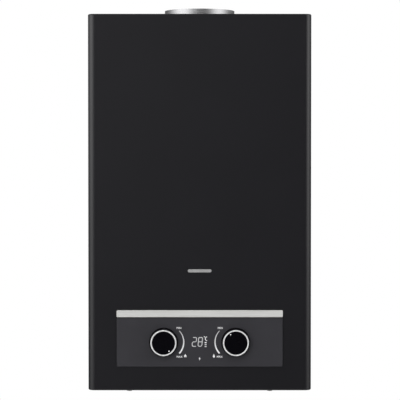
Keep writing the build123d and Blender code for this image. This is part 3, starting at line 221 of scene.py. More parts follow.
class HeaterPanelFinish(bpy.types.PropertyGroup):
    """Colours of the control panel, the knobs and the prints."""

    face_colour: colour_property("Panel face", "Colour of the grey panel face", (0.0296, 0.0288, 0.0343))
    carrier_colour: colour_property(
        "Carrier", "Colour of the moulding behind the face", (0.012, 0.012, 0.013))
    strip_colour: colour_property("Trim strip", "Colour of the silver strip", (0.70, 0.70, 0.682))
    knob_colour: colour_property("Knob", "Colour of the knob caps", (0.0020, 0.0018, 0.0030))
    ring_colour: colour_property("Knob ring", "Colour of the bright rings", (0.95, 0.95, 0.955))
    mica_colour: colour_property("Window sheet", "Colour of the sheet behind the slit", (0.37, 0.37, 0.37))
    print_colour: colour_property("Print", "Colour of the printed marks", (0.95, 0.95, 0.955))
    faint_colour: colour_property("Faint print", "Colour of the thin end of a scale", (0.58, 0.58, 0.59))
    digit_colour: colour_property("Read-out", "Colour of the read-out's digits", (0.64, 0.64, 0.65))


class HeaterPrintSizes(bpy.types.PropertyGroup):
    """Sizes of the marks on the panel face."""

    ink_depth: length_property("Ink", "How far a print stands off the face", 0.00006)
    scale_radius: length_property("Scale radius", "Radius of the middle of a dial scale", 0.0244)
    scale_thin: length_property("Scale thin end", "Width of a dial scale at its low end", 0.0010)
    scale_thick: length_property("Scale thick end", "Width of a dial scale at its high end", 0.0023)
    word_height: length_property("Word height", "Height of the words at the ends of a scale", 0.0027)
    digit_height: length_property("Digit height", "Height of the read-out's digits", 0.0142)
    digit_stroke: length_property("Digit stroke", "Width of the strokes of a digit", 0.00115)
    digit_lean: bpy.props.FloatProperty(
        name="Digit lean", description="How far the digits lean to the right", subtype="ANGLE",
        default=math.radians(5.5))
    dot_radius: length_property("Knob dot", "Radius of the white dot on a knob", 0.00095)
    dot_reach: length_property("Dot reach", "Distance of the dot from the knob's middle", 0.0146)


class HeaterWorksFinish(bpy.types.PropertyGroup):
    """Colours of the working parts, and sizes of the connector threads and the return spring."""

    brass_colour: colour_property("Brass", "Colour of the valve brass", (0.60, 0.43, 0.19))
    copper_colour: colour_property("Copper", "Colour of the tinned copper", (0.66, 0.44, 0.32))
    cast_colour: colour_property("Casting", "Colour of the cast gas valve", (0.46, 0.46, 0.47))
    steel_colour: colour_property("Steel", "Colour of the bare steel pieces", (0.55, 0.54, 0.53))
    ceramic_colour: colour_property("Ceramic", "Colour of the electrode sleeves", (0.80, 0.78, 0.72))
    board_colour: colour_property("Board", "Colour of the circuit board", (0.02, 0.13, 0.05))
    moulding_colour: colour_property("Moulding", "Colour of the dark mouldings", (0.022, 0.022, 0.024))
    rubber_colour: colour_property("Rubber", "Colour of seals and lead insulation", (0.016, 0.016, 0.017))
    cell_colour: colour_property("Cell jacket", "Colour of the round cells", (0.05, 0.09, 0.16))
    strainer_colour: colour_property("Strainer", "Colour of the filter cup", (0.72, 0.72, 0.68))
    thread_pitch: length_property("Thread pitch", "Rise of a connector thread in one turn", 0.001814)
    thread_depth: length_property("Thread depth", "Height of a connector thread's ridge", 0.00036)
    thread_length: length_property("Thread length", "Length of a connector thread", 0.0118)
    spring_wire: length_property("Spring wire", "Radius of the return spring's wire", 0.0007)
    spring_travel: length_property(
        "Spring travel", "How far the plunger shortens the return spring", 0.004)
    spring_turns: bpy.props.IntProperty(
        name="Spring turns", description="Turns of the return spring", default=5)


class HeaterStudio(bpy.types.PropertyGroup):
    """Camera, lamps and floor."""

    camera_back: length_property("Camera distance", "Camera's distance from the wall", 2.742)
    camera_side: length_property("Camera side", "Camera's distance to the right of the middle", 0.0005)
    camera_height: length_property("Camera height", "Camera's height against the wall hooks", -0.1652)
    aim_height: length_property("Aim height", "Height that the camera looks at", -0.2282)
    lens: bpy.props.FloatProperty(
        name="Lens", description="Focal length in millimetres", subtype="DISTANCE_CAMERA", default=157.2)
    key_power: power_property("Key lamp", "Power of the front lamp", 18.2)
    fill_power: power_property("Fill lamp", "Power of the right lamp", 8.0)
    top_power: power_property("Top lamp", "Power of the lamp above", 5.0)
    ambient: share_property("Ambient", "Strength of the light from all round", 0.44)
    floor_drop: length_property("Floor drop", "Depth of the floor below the casing", 3.2)
    floor_colour: colour_property("Floor", "Colour of the floor", (0.82, 0.82, 0.82))


class Shading:
    """A node tree, with the few kinds of node that the finishes and the surround share."""

    def __init__(self, owner):
        owner.use_nodes = True
        self.nodes = owner.node_tree.nodes
        self.links = owner.node_tree.links

    def put(self, socket, value):
        """A link into a socket where the value is an output, and else a constant."""
        if isinstance(value, bpy.types.NodeSocket):
            self.links.new(value, socket)
        else:
            socket.default_value = value

    def feed(self, node, **values):
        """Values for a node's sockets by their names."""
        for name, value in values.items():
            self.put(node.inputs[name.replace("_", " ")], value)
        return node

    def node(self, kind, **values):
        """A new node with its sockets fed."""
        return self.feed(self.nodes.new("ShaderNode" + kind), **values)

    def in_order(self, node, *values):
        """Values for a node's sockets in their order, and the node's result."""
        for socket, value in zip(node.inputs, values):
            self.put(socket, value)
        return node.outputs[0]

    def combined(self, operation, *values):
        """The result of a sum."""
        node = self.node("Math")
        node.operation = operation
        return self.in_order(node, *values)

    def mixed(self, share, first, second):
        """One surface or light that gives way to another."""
        return self.in_order(self.node("MixShader"), share, first, second)

    def spread(self, value, first, last, start=0.0, end=1.0):
        """A number that goes from first to last while a value goes from start to end."""
        node = self.node("MapRange", Value=value, From_Min=start, From_Max=end, To_Min=first, To_Max=last)
        return node.outputs["Result"]

    def ramp(self, value, *stops):
        """A colour ramp from places and colours."""
        node = self.node("ValToRGB", Fac=value)
        elements = node.color_ramp.elements
        while len(elements) < len(stops):
            elements.new(0.5)
        for element, (place, colour) in zip(elements, stops):
            element.position = place
            element.color = (*colour, 1.0)
        return node.outputs["Color"]

    def seen(self):
        """One for rays from the eye, straight or through clear sheet."""
        path = self.node("LightPath").outputs
        return self.combined("MAXIMUM", path["Is Camera Ray"], path["Is Transmission Ray"])


class Finish(Shading):
    """One material, with constants on its shader and patterns on the piece's own coordinates."""

    def __init__(self, name, **constants):
        self.material = bpy.data.materials.new(name)
        super().__init__(self.material)
        self.shader = self.feed(self.nodes["Principled BSDF"], **constants)
        self.place = self.node("TexCoord").outputs["Object"]

    def noise(self, scale, detail=3.0, stretch=None):
        """Soft random pattern."""
        place = self.place
        if stretch:
            place = self.node("Mapping", Vector=place, Scale=stretch).outputs["Vector"]
        return self.node("TexNoise", Vector=place, Scale=scale, Detail=detail).outputs[0]

    def cells(self, scale):
        """Random cells, as in zinc spangle."""
        return self.node("TexVoronoi", Vector=self.place, Scale=scale).outputs["Color"]

    def height(self):
        """Height of a point in the part's frame."""
        return self.node("SeparateXYZ", Vector=self.place).outputs["Z"]

    def colour(self, value, *stops):
        """Colour that follows a pattern through some stops."""
        self.feed(self.shader, Base_Color=self.ramp(value, *stops))

    def tone(self, value, colour, dark, light):
        """Colour that wanders a little with a pattern."""
        self.colour(value, (0.3, shade(colour, dark)), (0.7, shade(colour, light)))

    def roughen(self, value, first, last):
        """Roughness that follows a pattern from one value to another."""
        self.feed(self.shader, Roughness=self.spread(value, first, last))

    def relief(self, value, depth, strength, edge=0.0):
        """A bumpy surface, with eased edges where asked."""
        node = self.node("Bump", Strength=strength, Distance=depth, Height=value)
        if edge:
            self.feed(node, Normal=self.eased(edge))
        self.feed(self.shader, Normal=node.outputs["Normal"])

    def eased(self, edge):
        """Normals that round a hard edge."""
        node = self.node("Bevel", Radius=edge)
        node.samples = edge_samples
        return node.outputs["Normal"]


def shade(colour, factor):
    """A colour made lighter or darker."""
    return tuple(min(1.0, part * factor) for part in colour)


def baked_coat(name, colour, roughness):
    """Satin powder coat with a fine orange-peel skin."""
    finish = Finish(name, Specular_IOR_Level=0.8)
    finish.tone(finish.noise(scale=14.0), colour, dark=0.94, light=1.06)
    finish.roughen(finish.noise(scale=60.0, detail=4.0), roughness - 0.02, roughness + 0.02)
    finish.relief(finish.noise(scale=1500.0, detail=2.0), depth=0.00004, strength=0.35)
    return finish.material


def spangled_zinc(name, colour):
    """Galvanised sheet with crystal spangle."""
    finish = Finish(name, Metallic=0.92)
    spangle = finish.cells(scale=150.0)
    finish.tone(spangle, colour, dark=0.88, light=1.08)
    finish.roughen(spangle, first=0.38, last=0.52)
    finish.relief(finish.noise(scale=900.0), depth=0.00003, strength=0.4, edge=0.0003)
    return finish.material


def drawn_metal(name, colour, roughness, stretch, scale=220.0, metallic=1.0, edge=0.0004):
    """Metal with fine lines in one direction."""
    finish = Finish(name, Metallic=metallic)
    lines = finish.noise(scale=scale, detail=4.0, stretch=stretch)
    finish.tone(lines, colour, dark=0.88, light=1.08)
    finish.roughen(lines, roughness - 0.06, roughness + 0.08)
    finish.relief(lines, depth=0.00003, strength=0.25, edge=edge)
    return finish.material


def turned_metal(name, colour, roughness, tarnish):
    """Machined metal with a thin, patchy tarnish."""
    finish = Finish(name, Metallic=1.0)
    patches = finish.noise(scale=90.0, detail=5.0)
    finish.colour(patches, (0.25, shade(colour, tarnish)), (0.55, colour), (0.8, shade(colour, 1.1)))
    finish.roughen(patches, roughness + 0.14, roughness - 0.04)
    finish.relief(finish.noise(scale=1600.0, detail=2.0), depth=0.00002, strength=0.3, edge=0.0003)
    return finish.material


def sand_cast(name, colour):
    """Casting with a grainy skin."""
    finish = Finish(name, Metallic=0.85)
    grain = finish.noise(scale=1100.0)
    finish.tone(finish.noise(scale=40.0, detail=4.0), colour, dark=0.84, light=1.1)
    finish.roughen(grain, first=0.44, last=0.62)
    finish.relief(grain, depth=0.00009, strength=0.5, edge=0.0006)
    return finish.material


def heated_copper(name, colour, low, high):
    """Tinned copper, browned by heat towards the burner."""
    finish = Finish(name, Metallic=1.0)
    patches = finish.noise(scale=55.0, detail=5.0)
    patch_share = 0.35
    climb = finish.spread(finish.height(), first=0.0, last=0.8, start=low, end=high)
    coolness = finish.combined("MULTIPLY_ADD", patches, patch_share, climb)
    browned = (0.30, 0.15, 0.11)
    tin_grey = 0.72
    tinned = tuple((part + tin_grey) / 2 for part in colour)
    finish.colour(coolness, (0.1, browned), (0.4, colour), (0.95, tinned))
    finish.roughen(patches, first=0.24, last=0.44)
    finish.relief(finish.noise(scale=700.0, detail=2.0), depth=0.00003, strength=0.3)
    return finish.material


def copper_with_brass_foot(name, copper, brass, level):
    """Drawn copper pipe with a brass connector below a level."""
    finish = Finish(name, Metallic=1.0)
    seam = 0.0002
    step = finish.spread(finish.height(), first=0.0, last=1.0, start=level - seam, end=level + seam)
    finish.colour(step, (0.0, brass), (1.0, copper))
    finish.roughen(finish.noise(scale=90.0, detail=5.0), first=0.38, last=0.24)
    finish.relief(finish.noise(scale=1600.0, detail=2.0), depth=0.00002, strength=0.3, edge=0.0003)
    return finish.material


def moulded(name, colour, roughness, grain=0.00003, edge=0.0004):
    """Plastic with a fine moulded grain."""
    finish = Finish(name)
    finish.tone(finish.noise(scale=30.0), colour, dark=0.92, light=1.08)
    skin = finish.noise(scale=1300.0, detail=2.0)
    finish.roughen(skin, roughness - 0.05, roughness + 0.06)
    finish.relief(skin, depth=grain, strength=0.35, edge=edge)
    return finish.material


def polished_cap(name, colour, roughness):
    """Smooth dark cap with the faint haze of handling."""
    finish = Finish(name, Specular_IOR_Level=0.14)
    finish.tone(finish.noise(scale=45.0), colour, dark=0.9, light=1.1)
    finish.roughen(finish.noise(scale=160.0, detail=4.0), roughness - 0.05, roughness + 0.05)
    finish.feed(finish.shader, Normal=finish.eased(0.0005))
    return finish.material


def plated(name, colour, roughness):
    """Bright plating on a moulding, hazed in places."""
    finish = Finish(name, Metallic=0.3)
    haze = finish.noise(scale=240.0)
    finish.tone(haze, colour, dark=0.96, light=1.04)
    finish.roughen(haze, roughness - 0.04, roughness + 0.05)
    return finish.material


def mica_sheet(name, colour):
    """Pale flaked sheet."""
    finish = Finish(name, Specular_IOR_Level=0.4)
    flakes = finish.cells(scale=260.0)
    finish.tone(flakes, colour, dark=0.95, light=1.05)
    finish.roughen(flakes, first=0.32, last=0.46)
    finish.relief(finish.noise(scale=300.0, detail=2.0), depth=0.00004, strength=0.2)
    return finish.material


def ink_film(name):
    """Opaque screen print before its colour, and the unevenness of its film."""
    finish = Finish(name, Specular_IOR_Level=0.3)
    film = finish.noise(scale=2500.0, detail=2.0)
    finish.roughen(film, first=0.46, last=0.58)
    return finish, film


def ink(name, colour):
    """Screen print of one colour."""
    finish, film = ink_film(name)
    finish.tone(film, colour, dark=0.96, light=1.03)
    return finish.material


def fading_ink(name, colour, faint, low, high):
    """Screen print that fades from one height to another."""
    finish = ink_film(name)[0]
    climb = finish.spread(finish.height(), first=0.0, last=1.0, start=low, end=high)
    finish.colour(climb, (0.15, colour), (0.95, faint))
    return finish.material


def paint(material, *names):
    """A finish on some of the CAD pieces."""
    for name in names:
        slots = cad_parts[name].data.materials
        slots.clear()
        slots.append(material)


def start():
    """Nothing selected, in object mode."""
    if bpy.context.object and bpy.context.object.mode != "OBJECT":
        bpy.ops.object.mode_set(mode="OBJECT")
    bpy.ops.object.select_all(action="DESELECT")


def edit(choice="SELECT"):
    """Edit mode with everything chosen or nothing."""
    bpy.ops.object.mode_set(mode="EDIT")
    bpy.ops.mesh.select_all(action=choice)


def leave():
    """Back to object mode."""
    bpy.ops.mesh.select_mode(type="VERT")
    bpy.ops.object.mode_set(mode="OBJECT")


def choose(kind, parts, wanted):
    """Edit mode with only the wanted edges or faces chosen."""
    edit("DESELECT")
    bpy.ops.mesh.select_mode(type=kind)
    bpy.ops.object.mode_set(mode="OBJECT")
    for part in parts:
        part.select = wanted(part)
    bpy.ops.object.mode_set(mode="EDIT")


def place_here(piece, name):
    """A new piece with its place in its mesh."""
    piece.name = name
    piece.data.name = name
    bpy.ops.object.transform_apply(location=True, rotation=True, scale=True)
    return piece


def settle(piece, material, body):
    """A finished piece gets its finish and rides on its body."""
    start()
    piece.data.materials.clear()
    piece.data.materials.append(material)
    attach(piece, body)
    return piece


def settle_print(piece, material):
    """A finished print rides with the panel face."""
    settle(piece, material, "heater")


def on_face(across, up):
    """A place on the panel face."""
    return Vector((across, face_low.y, case_low.z + up))


def thicken(piece, depth):
    """A flat print gets its film of ink, towards the front."""
    start()
    piece.select_set(True)
    bpy.context.view_layer.objects.active = piece
    edit()
    if piece.data.polygons[0].normal.y > 0:
        bpy.ops.mesh.flip_normals()
    leave()
    bpy.ops.object.modifier_add(type="SOLIDIFY")
    film = piece.modifiers[-1]
    film.thickness = depth
    film.offset = 1.0
    bpy.ops.object.modifier_apply(modifier=film.name)
    return piece


def knob_middle(name):
    """Middle of a knob's front."""
    low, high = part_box(name)
    return Vector(((low.x + high.x) / 2, low.y, (low.z + high.z) / 2))


def trim(spot, towards):
    """In edit mode, cuts off what lies beyond a plane."""
    bpy.ops.mesh.select_all(action="SELECT")
    bpy.ops.mesh.bisect(plane_co=spot, plane_no=towards, clear_outer=True)


def scale_arc(dial, middle, sizes):
    """A dial scale that widens from its low end to its high end, between two shifted circles."""
    growth = sizes.scale_thick - sizes.scale_thin
    shift = growth / (math.sin(scale_low_turn) - math.sin(scale_high_turn))
    mean = sizes.scale_thin + shift * math.sin(scale_low_turn)
    spot = Vector((middle.x + dial.way * dial.shift, face_low.y, middle.z))
    half_shift = Vector((0.0, 0.0, shift / 2))
    start()
    bpy.ops.mesh.primitive_circle_add(
        vertices=scale_facets, radius=sizes.scale_radius + mean / 2, location=spot - half_shift,
        rotation=upright)
    piece = place_here(bpy.context.object, dial.knob + "_scale")
    edit()
    bpy.ops.mesh.primitive_circle_add(
        vertices=scale_facets, radius=sizes.scale_radius - mean / 2, location=spot + half_shift,
        rotation=upright)
    edit()
    bpy.ops.mesh.bridge_edge_loops()
    for turn, side in ((scale_low_turn, 1), (scale_high_turn, -1)):
        trim(spot, (-dial.way * side * math.sin(turn), 0.0, side * math.cos(turn)))
    trim(spot, (-dial.way, 0.0, 0.0))
    return thicken(piece, sizes.ink_depth)


def printed_word(name, word, sizes):
    """A short word in plain capitals, its strokes widened evenly."""
    start()
    bpy.ops.object.text_add(location=on_face(word.across, word.up), rotation=upright)
    letters = bpy.context.object.data
    letters.body = word.text
    letters.align_x = "CENTER"
    letters.align_y = "CENTER"
    letters.size = sizes.word_height / capital_share
    letters.space_character = letter_spacing
    bpy.ops.object.convert(target="MESH")
    piece = thicken(place_here(bpy.context.object, name), sizes.ink_depth)
    choose("FACE", piece.data.polygons, lambda wall: abs(wall.normal.y) < 0.5)
    bpy.ops.transform.shrink_fatten(value=sizes.word_height * boldness_share, use_even_offset=True)
    leave()
    return piece


def printed_shape(sign, depth):
    """A small flat sign from its outline."""
    spot = on_face(sign.across, sign.up)
    start()
    bpy.ops.mesh.primitive_circle_add(
        vertices=len(sign.shares), radius=sign.width, fill_type="NGON", location=spot, rotation=upright)
    piece = place_here(bpy.context.object, sign.name)
    for vertex, (across, up) in zip(piece.data.vertices, sign.shares):
        vertex.co = spot + Vector((across * sign.width / 2, 0.0, up * sign.height / 2))
    return thicken(piece, depth)


def beside(way):
    """The right-hand side of a way along the panel face."""
    return Vector((way.z, 0.0, -way.x))


def turned(arm, turn):
    """An arm along the panel face, turned clockwise."""
    return arm * math.cos(turn) + beside(arm) * math.sin(turn)


def stroke(name, begin, way, moves, width):
    """A flat stroke: its end drawn along runs (across, up) and spun round bends (radius, turn)."""
    across = beside(way) * width / 2
    start()
    bpy.ops.mesh.primitive_plane_add(size=width, location=begin, rotation=upright)
    piece = place_here(bpy.context.object, name)
    edit()
    bpy.ops.mesh.delete(type="ONLY_FACE")
    leave()
    ends = (begin - across, begin + across, begin + across, begin - across)
    for vertex, end in zip(piece.data.vertices, ends):
        vertex.co = end
    edit()
    bpy.ops.mesh.remove_doubles(threshold=width * merge_share)
    spot = begin
    for kind, *values in moves:
        if kind == "run":
            step = Vector((values[0], 0.0, values[1]))
            bpy.ops.mesh.extrude_region_move(TRANSFORM_OT_translate={"value": step})
            spot = spot + step
            way = step.normalized()
        else:
            radius, turn = values
            centre = spot + beside(way) * math.copysign(radius, turn)
            steps = round(bend_steps * abs(turn) / quarter)
            bpy.ops.mesh.spin(steps=steps, angle=-turn, center=centre, axis=(0.0, 1.0, 0.0))
            spot = centre + turned(spot - centre, turn)
            way = turned(way, turn)
    bpy.ops.mesh.select_all(action="SELECT")
    bpy.ops.mesh.remove_doubles(threshold=width * merge_share)
    leave()
    return piece


def lean(piece, foot, angle):
    """Slants an upright print about its foot line."""
    for vertex in piece.data.vertices:
        vertex.co.x += (vertex.co.z - foot) * math.tan(angle)


def gather(pieces, name):
    """Several meshes joined in one piece."""
    start()
    for piece in pieces:
        piece.select_set(True)
    whole = pieces[0]
    bpy.context.view_layer.objects.active = whole
    bpy.ops.object.join()
    whole.name = name
    whole.data.name = name
    return whole


def connector_foot(name):
    """Middle and radius of the lowest ring of a connector."""
    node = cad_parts[name]
    ring_depth = 0.0001
    points = [node.matrix_world @ vertex.co for vertex in node.data.vertices]
    low = min(point.z for point in points)
    ring = [point for point in points if point.z < low + ring_depth]
    left, right = min(point.x for point in ring), max(point.x for point in ring)
    near, far = min(point.y for point in ring), max(point.y for point in ring)
    return Vector(((left + right) / 2, (near + far) / 2, low)), (right - left) / 2


def wound(piece, axis, rise, turns):
    """An outline wound into a coil, closed at both ends."""
    bpy.ops.object.modifier_add(type="SCREW")
    wind = piece.modifiers[-1]
    wind.axis = axis
    wind.screw_offset = rise
    wind.iterations = turns
    wind.steps = winding_steps
    wind.render_steps = winding_steps
    bpy.ops.object.modifier_apply(modifier=wind.name)
    edit()
    bpy.ops.mesh.fill_holes(sides=0)
    bpy.ops.mesh.normals_make_consistent(inside=False)
    leave()
    bpy.ops.object.shade_smooth_by_angle(angle=coil_crease)


def thread(name, foot, radius, look):
    """A ridge that winds up a connector's stem."""
    pitch, depth = look.thread_pitch, look.thread_depth
    start()
    bpy.ops.mesh.primitive_plane_add(size=pitch, location=(radius, 0.0, 0.0), rotation=upright)
    piece = place_here(bpy.context.object, name)
    for vertex in piece.data.vertices:
        outer = vertex.co.x > radius
        half = pitch * (ridge_crest_share if outer else ridge_base_share)
        reach = depth if outer else -depth * ridge_sunk_share
        vertex.co = (radius + reach, 0.0, math.copysign(half, vertex.co.z))
    edit()
    bpy.ops.mesh.delete(type="ONLY_FACE")
    leave()
    wound(piece, "Z", pitch, round(look.thread_length / pitch))
    piece.location = foot + Vector((0.0, 0.0, pitch * thread_start_share))
    return place_here(piece, name)


def return_spring(name, low, high, look):
    """A round wire wound along the poppet's axis between its two seats."""
    wire = look.spring_wire
    coil = (high.y - low.y) / 2 - wire
    start()
    bpy.ops.mesh.primitive_circle_add(vertices=wire_facets, radius=wire, location=(0.0, coil, 0.0))
    piece = place_here(bpy.context.object, name)
    wound(piece, "X", (high.x - low.x - 2 * wire) / look.spring_turns, look.spring_turns)
    piece.location = (low.x + wire, (low.y + high.y) / 2, (low.z + high.z) / 2)
    return place_here(piece, name)


class HEATER_OT_coat_casing(bpy.types.Operator):
    """Coat the cover and finish the plates and screws"""

    bl_idname = "heater.coat_casing"
    bl_label = "Coat the casing"

    def execute(self, context):
        look = context.scene.heater_casing
        paint(baked_coat("satin_black_coat", look.coat_colour, look.coat_roughness), "front_cover")
        paint(spangled_zinc("galvanised_sheet", look.zinc_colour), "back_plate", "bottom_plate", "draft_hood",
              "window_frame", "valve_bracket", "burner_frame", "electrode_plate")
        screws = turned_metal("plated_screws", look.screw_colour, roughness=0.30, tarnish=0.7)
        paint(screws, "cover_screws", "diaphragm_screws")
        return {"FINISHED"}


class HEATER_OT_finish_flue(bpy.types.Operator):
    """Finish the flue collar in bright rolled steel"""

    bl_idname = "heater.finish_flue"
    bl_label = "Finish the flue collar"

    def execute(self, context):
        look = context.scene.heater_casing
        steel = drawn_metal("rolled_collar_steel", look.collar_colour, look.collar_roughness,
                            stretch=(0.12, 0.12, 3.0), metallic=0.78, edge=0.0)
        paint(steel, "flue_collar")
        return {"FINISHED"}


class HEATER_OT_finish_panel(bpy.types.Operator):
    """Finish the panel, its strip, the window and the read-out block"""

    bl_idname = "heater.finish_panel"
    bl_label = "Finish the panel"

    def execute(self, context):
        look = context.scene.heater_panel
        works = context.scene.heater_works
        face = moulded("panel_face_grey", look.face_colour, roughness=0.46, grain=0.00002, edge=0.0006)
        paint(face, "panel_face")
        paint(moulded("carrier_black", look.carrier_colour, roughness=0.5), "panel_carrier")
        strip = drawn_metal("silver_strip", look.strip_colour, roughness=0.36, stretch=(0.05, 1.0, 4.0),
                            scale=260.0, metallic=0.15, edge=0.0)
        paint(strip, "trim_strip")
        paint(mica_sheet("window_mica", look.mica_colour), "viewing_window")
        paint(moulded("read_out_housing", works.moulding_colour, roughness=0.5), "display_unit")
        paint(moulded("lacquered_board", works.board_colour, roughness=0.35), "display_board")
        return {"FINISHED"}


class HEATER_OT_finish_knobs(bpy.types.Operator):
    """Finish both knobs and print their dots"""

    bl_idname = "heater.finish_knobs"
    bl_label = "Finish the knobs"

    def execute(self, context):
        look = context.scene.heater_panel
        black = polished_cap("knob_gloss_black", look.knob_colour, roughness=0.26)
        bright = plated("bright_ring", look.ring_colour, roughness=0.26)
        white = ink("knob_dot_white", look.print_colour)
        for dial in dials:
            paint(black, dial.knob)
            paint(bright, dial.knob + "_ring")
            settle(self.dot(dial, context.scene.heater_prints), white, dial.body)
        return {"FINISHED"}

    def dot(self, dial, sizes):
        """A thin disc with a rounded rim, on the knob's cap."""
        cap = knob_middle(dial.knob + "_ring") + Vector((0.0, cap_recess, 0.0))
        start()
        bpy.ops.mesh.primitive_cylinder_add(
            vertices=dot_facets, radius=sizes.dot_radius, depth=dot_depth, rotation=upright,
            location=cap + turned(rightward, -dial.dot_turn) * sizes.dot_reach)
        piece = place_here(bpy.context.object, dial.dot)
        points = piece.data.vertices
        front = cap.y
        choose("EDGE", piece.data.edges, lambda rim: all(points[end].co.y < front for end in rim.vertices))
        bpy.ops.mesh.bevel(offset=dot_rounding, segments=rounding_steps, affect="EDGES")
        leave()
        bpy.ops.object.shade_smooth_by_angle(angle=dot_crease)
        return piece


class HEATER_OT_print_scales(bpy.types.Operator):
    """Print the two dial scales and the words at their ends"""

    bl_idname = "heater.print_scales"
    bl_label = "Print the dial scales"

    def execute(self, context):
        look = context.scene.heater_panel
        sizes = context.scene.heater_prints
        white = ink("scale_word_white", look.print_colour)
        for dial in dials:
            middle = knob_middle(dial.knob)
            low = middle.z - sizes.scale_radius * fade_low_share
            high = middle.z + sizes.scale_radius * fade_high_share
            fade = fading_ink(dial.knob + "_scale_white", look.print_colour, look.faint_colour, low, high)
            settle_print(scale_arc(dial, middle, sizes), fade)
            for word in dial.words:
                settle_print(printed_word(f"{dial.knob}_{word.text.lower()}", word, sizes), white)
        return {"FINISHED"}


class HEATER_OT_print_signs(bpy.types.Operator):
    """Print the flame, drop and spark signs"""

    bl_idname = "heater.print_signs"
    bl_label = "Print the signs"

    def execute(self, context):
        white = ink("sign_white", context.scene.heater_panel.print_colour)
        for sign in signs:
            settle_print(printed_shape(sign, context.scene.heater_prints.ink_depth), white)
        return {"FINISHED"}


class HEATER_OT_print_readout(bpy.types.Operator):
    """Print the two digits, the degree mark and the three level bars"""

    bl_idname = "heater.print_readout"
    bl_label = "Print the read-out"

    def execute(self, context):
        look = context.scene.heater_panel
        sizes = context.scene.heater_prints
        grey = ink("read_out_grey", look.digit_colour)
        white = ink("level_bar_white", look.print_colour)
        bright_bar, *dim_bars = self.level_bars()
        for piece in (*self.digits(sizes), *dim_bars):
            settle_print(thicken(piece, sizes.ink_depth), grey)
        for piece in (*self.degree_mark(sizes), bright_bar):
            settle_print(thicken(piece, sizes.ink_depth), white)
        return {"FINISHED"}

    def digits(self, sizes):
        """A two and an eight in round-cornered strokes, leaning a little."""
        width = sizes.digit_stroke
        tall = sizes.digit_height - width
        waist = tall * digit_waist_share
        low = digit_foot + width / 2
        bend, bowl = digit_bend, digit_bowl
        two = stroke("digit_two", on_face(two_left + two_lead, low + tall), rightward, (
            ("run", digit_width - bend - two_lead, 0.0), ("bend", bend, quarter),
            ("run", 0.0, waist + 2 * bend - tall), ("bend", bend, quarter),
            ("run", bend + bowl - digit_width, 0.0), ("bend", bowl, -quarter),
            ("run", 0.0, 2 * bowl - waist), ("bend", bowl, -quarter),
            ("run", digit_width - bowl, 0.0)), width)
        ring = stroke("digit_eight", on_face(eight_left + bend, low + tall), rightward, (
            ("run", digit_width - 2 * bend, 0.0), ("bend", bend, quarter),
            ("run", 0.0, bend + bowl - tall), ("bend", bowl, quarter),
            ("run", 2 * bowl - digit_width, 0.0), ("bend", bowl, quarter),
            ("run", 0.0, tall - bend - bowl), ("bend", bend, quarter)), width)
        bar = stroke("digit_waist", on_face(eight_left + width / 2, low + waist), rightward,
                     (("run", digit_width - width, 0.0),), width)
        eight = gather([ring, bar], "digit_eight")
        for digit in (two, eight):
            lean(digit, case_low.z + digit_foot, sizes.digit_lean)
        return two, eight

    def degree_mark(self, sizes):
        """A small ring and a round-backed C."""
        ring = stroke("degree_ring", on_face(ring_across, ring_up), rightward,
                      (("bend", ring_radius, 4 * quarter),), ring_stroke)
        mark = stroke("degree_c", on_face(mark_across, mark_up), -rightward, (
            ("run", -mark_tip, 0.0), ("bend", mark_bend, -quarter), ("run", 0.0, -mark_back),
            ("bend", mark_bend, -quarter), ("run", mark_tip, 0.0)), sizes.digit_stroke * mark_stroke_share)
        return ring, mark

    def level_bars(self):
        """Three short bars with rounded corners, the brightest first."""
        for place, up in enumerate(bar_ups):
            bar = stroke(f"level_bar_{place}", on_face(bar_across, up), rightward,
                         (("run", bar_length, 0.0),), bar_width)
            edit()
            bpy.ops.mesh.bevel(offset=bar_rounding, segments=rounding_steps, affect="VERTICES")
            leave()
            yield bar


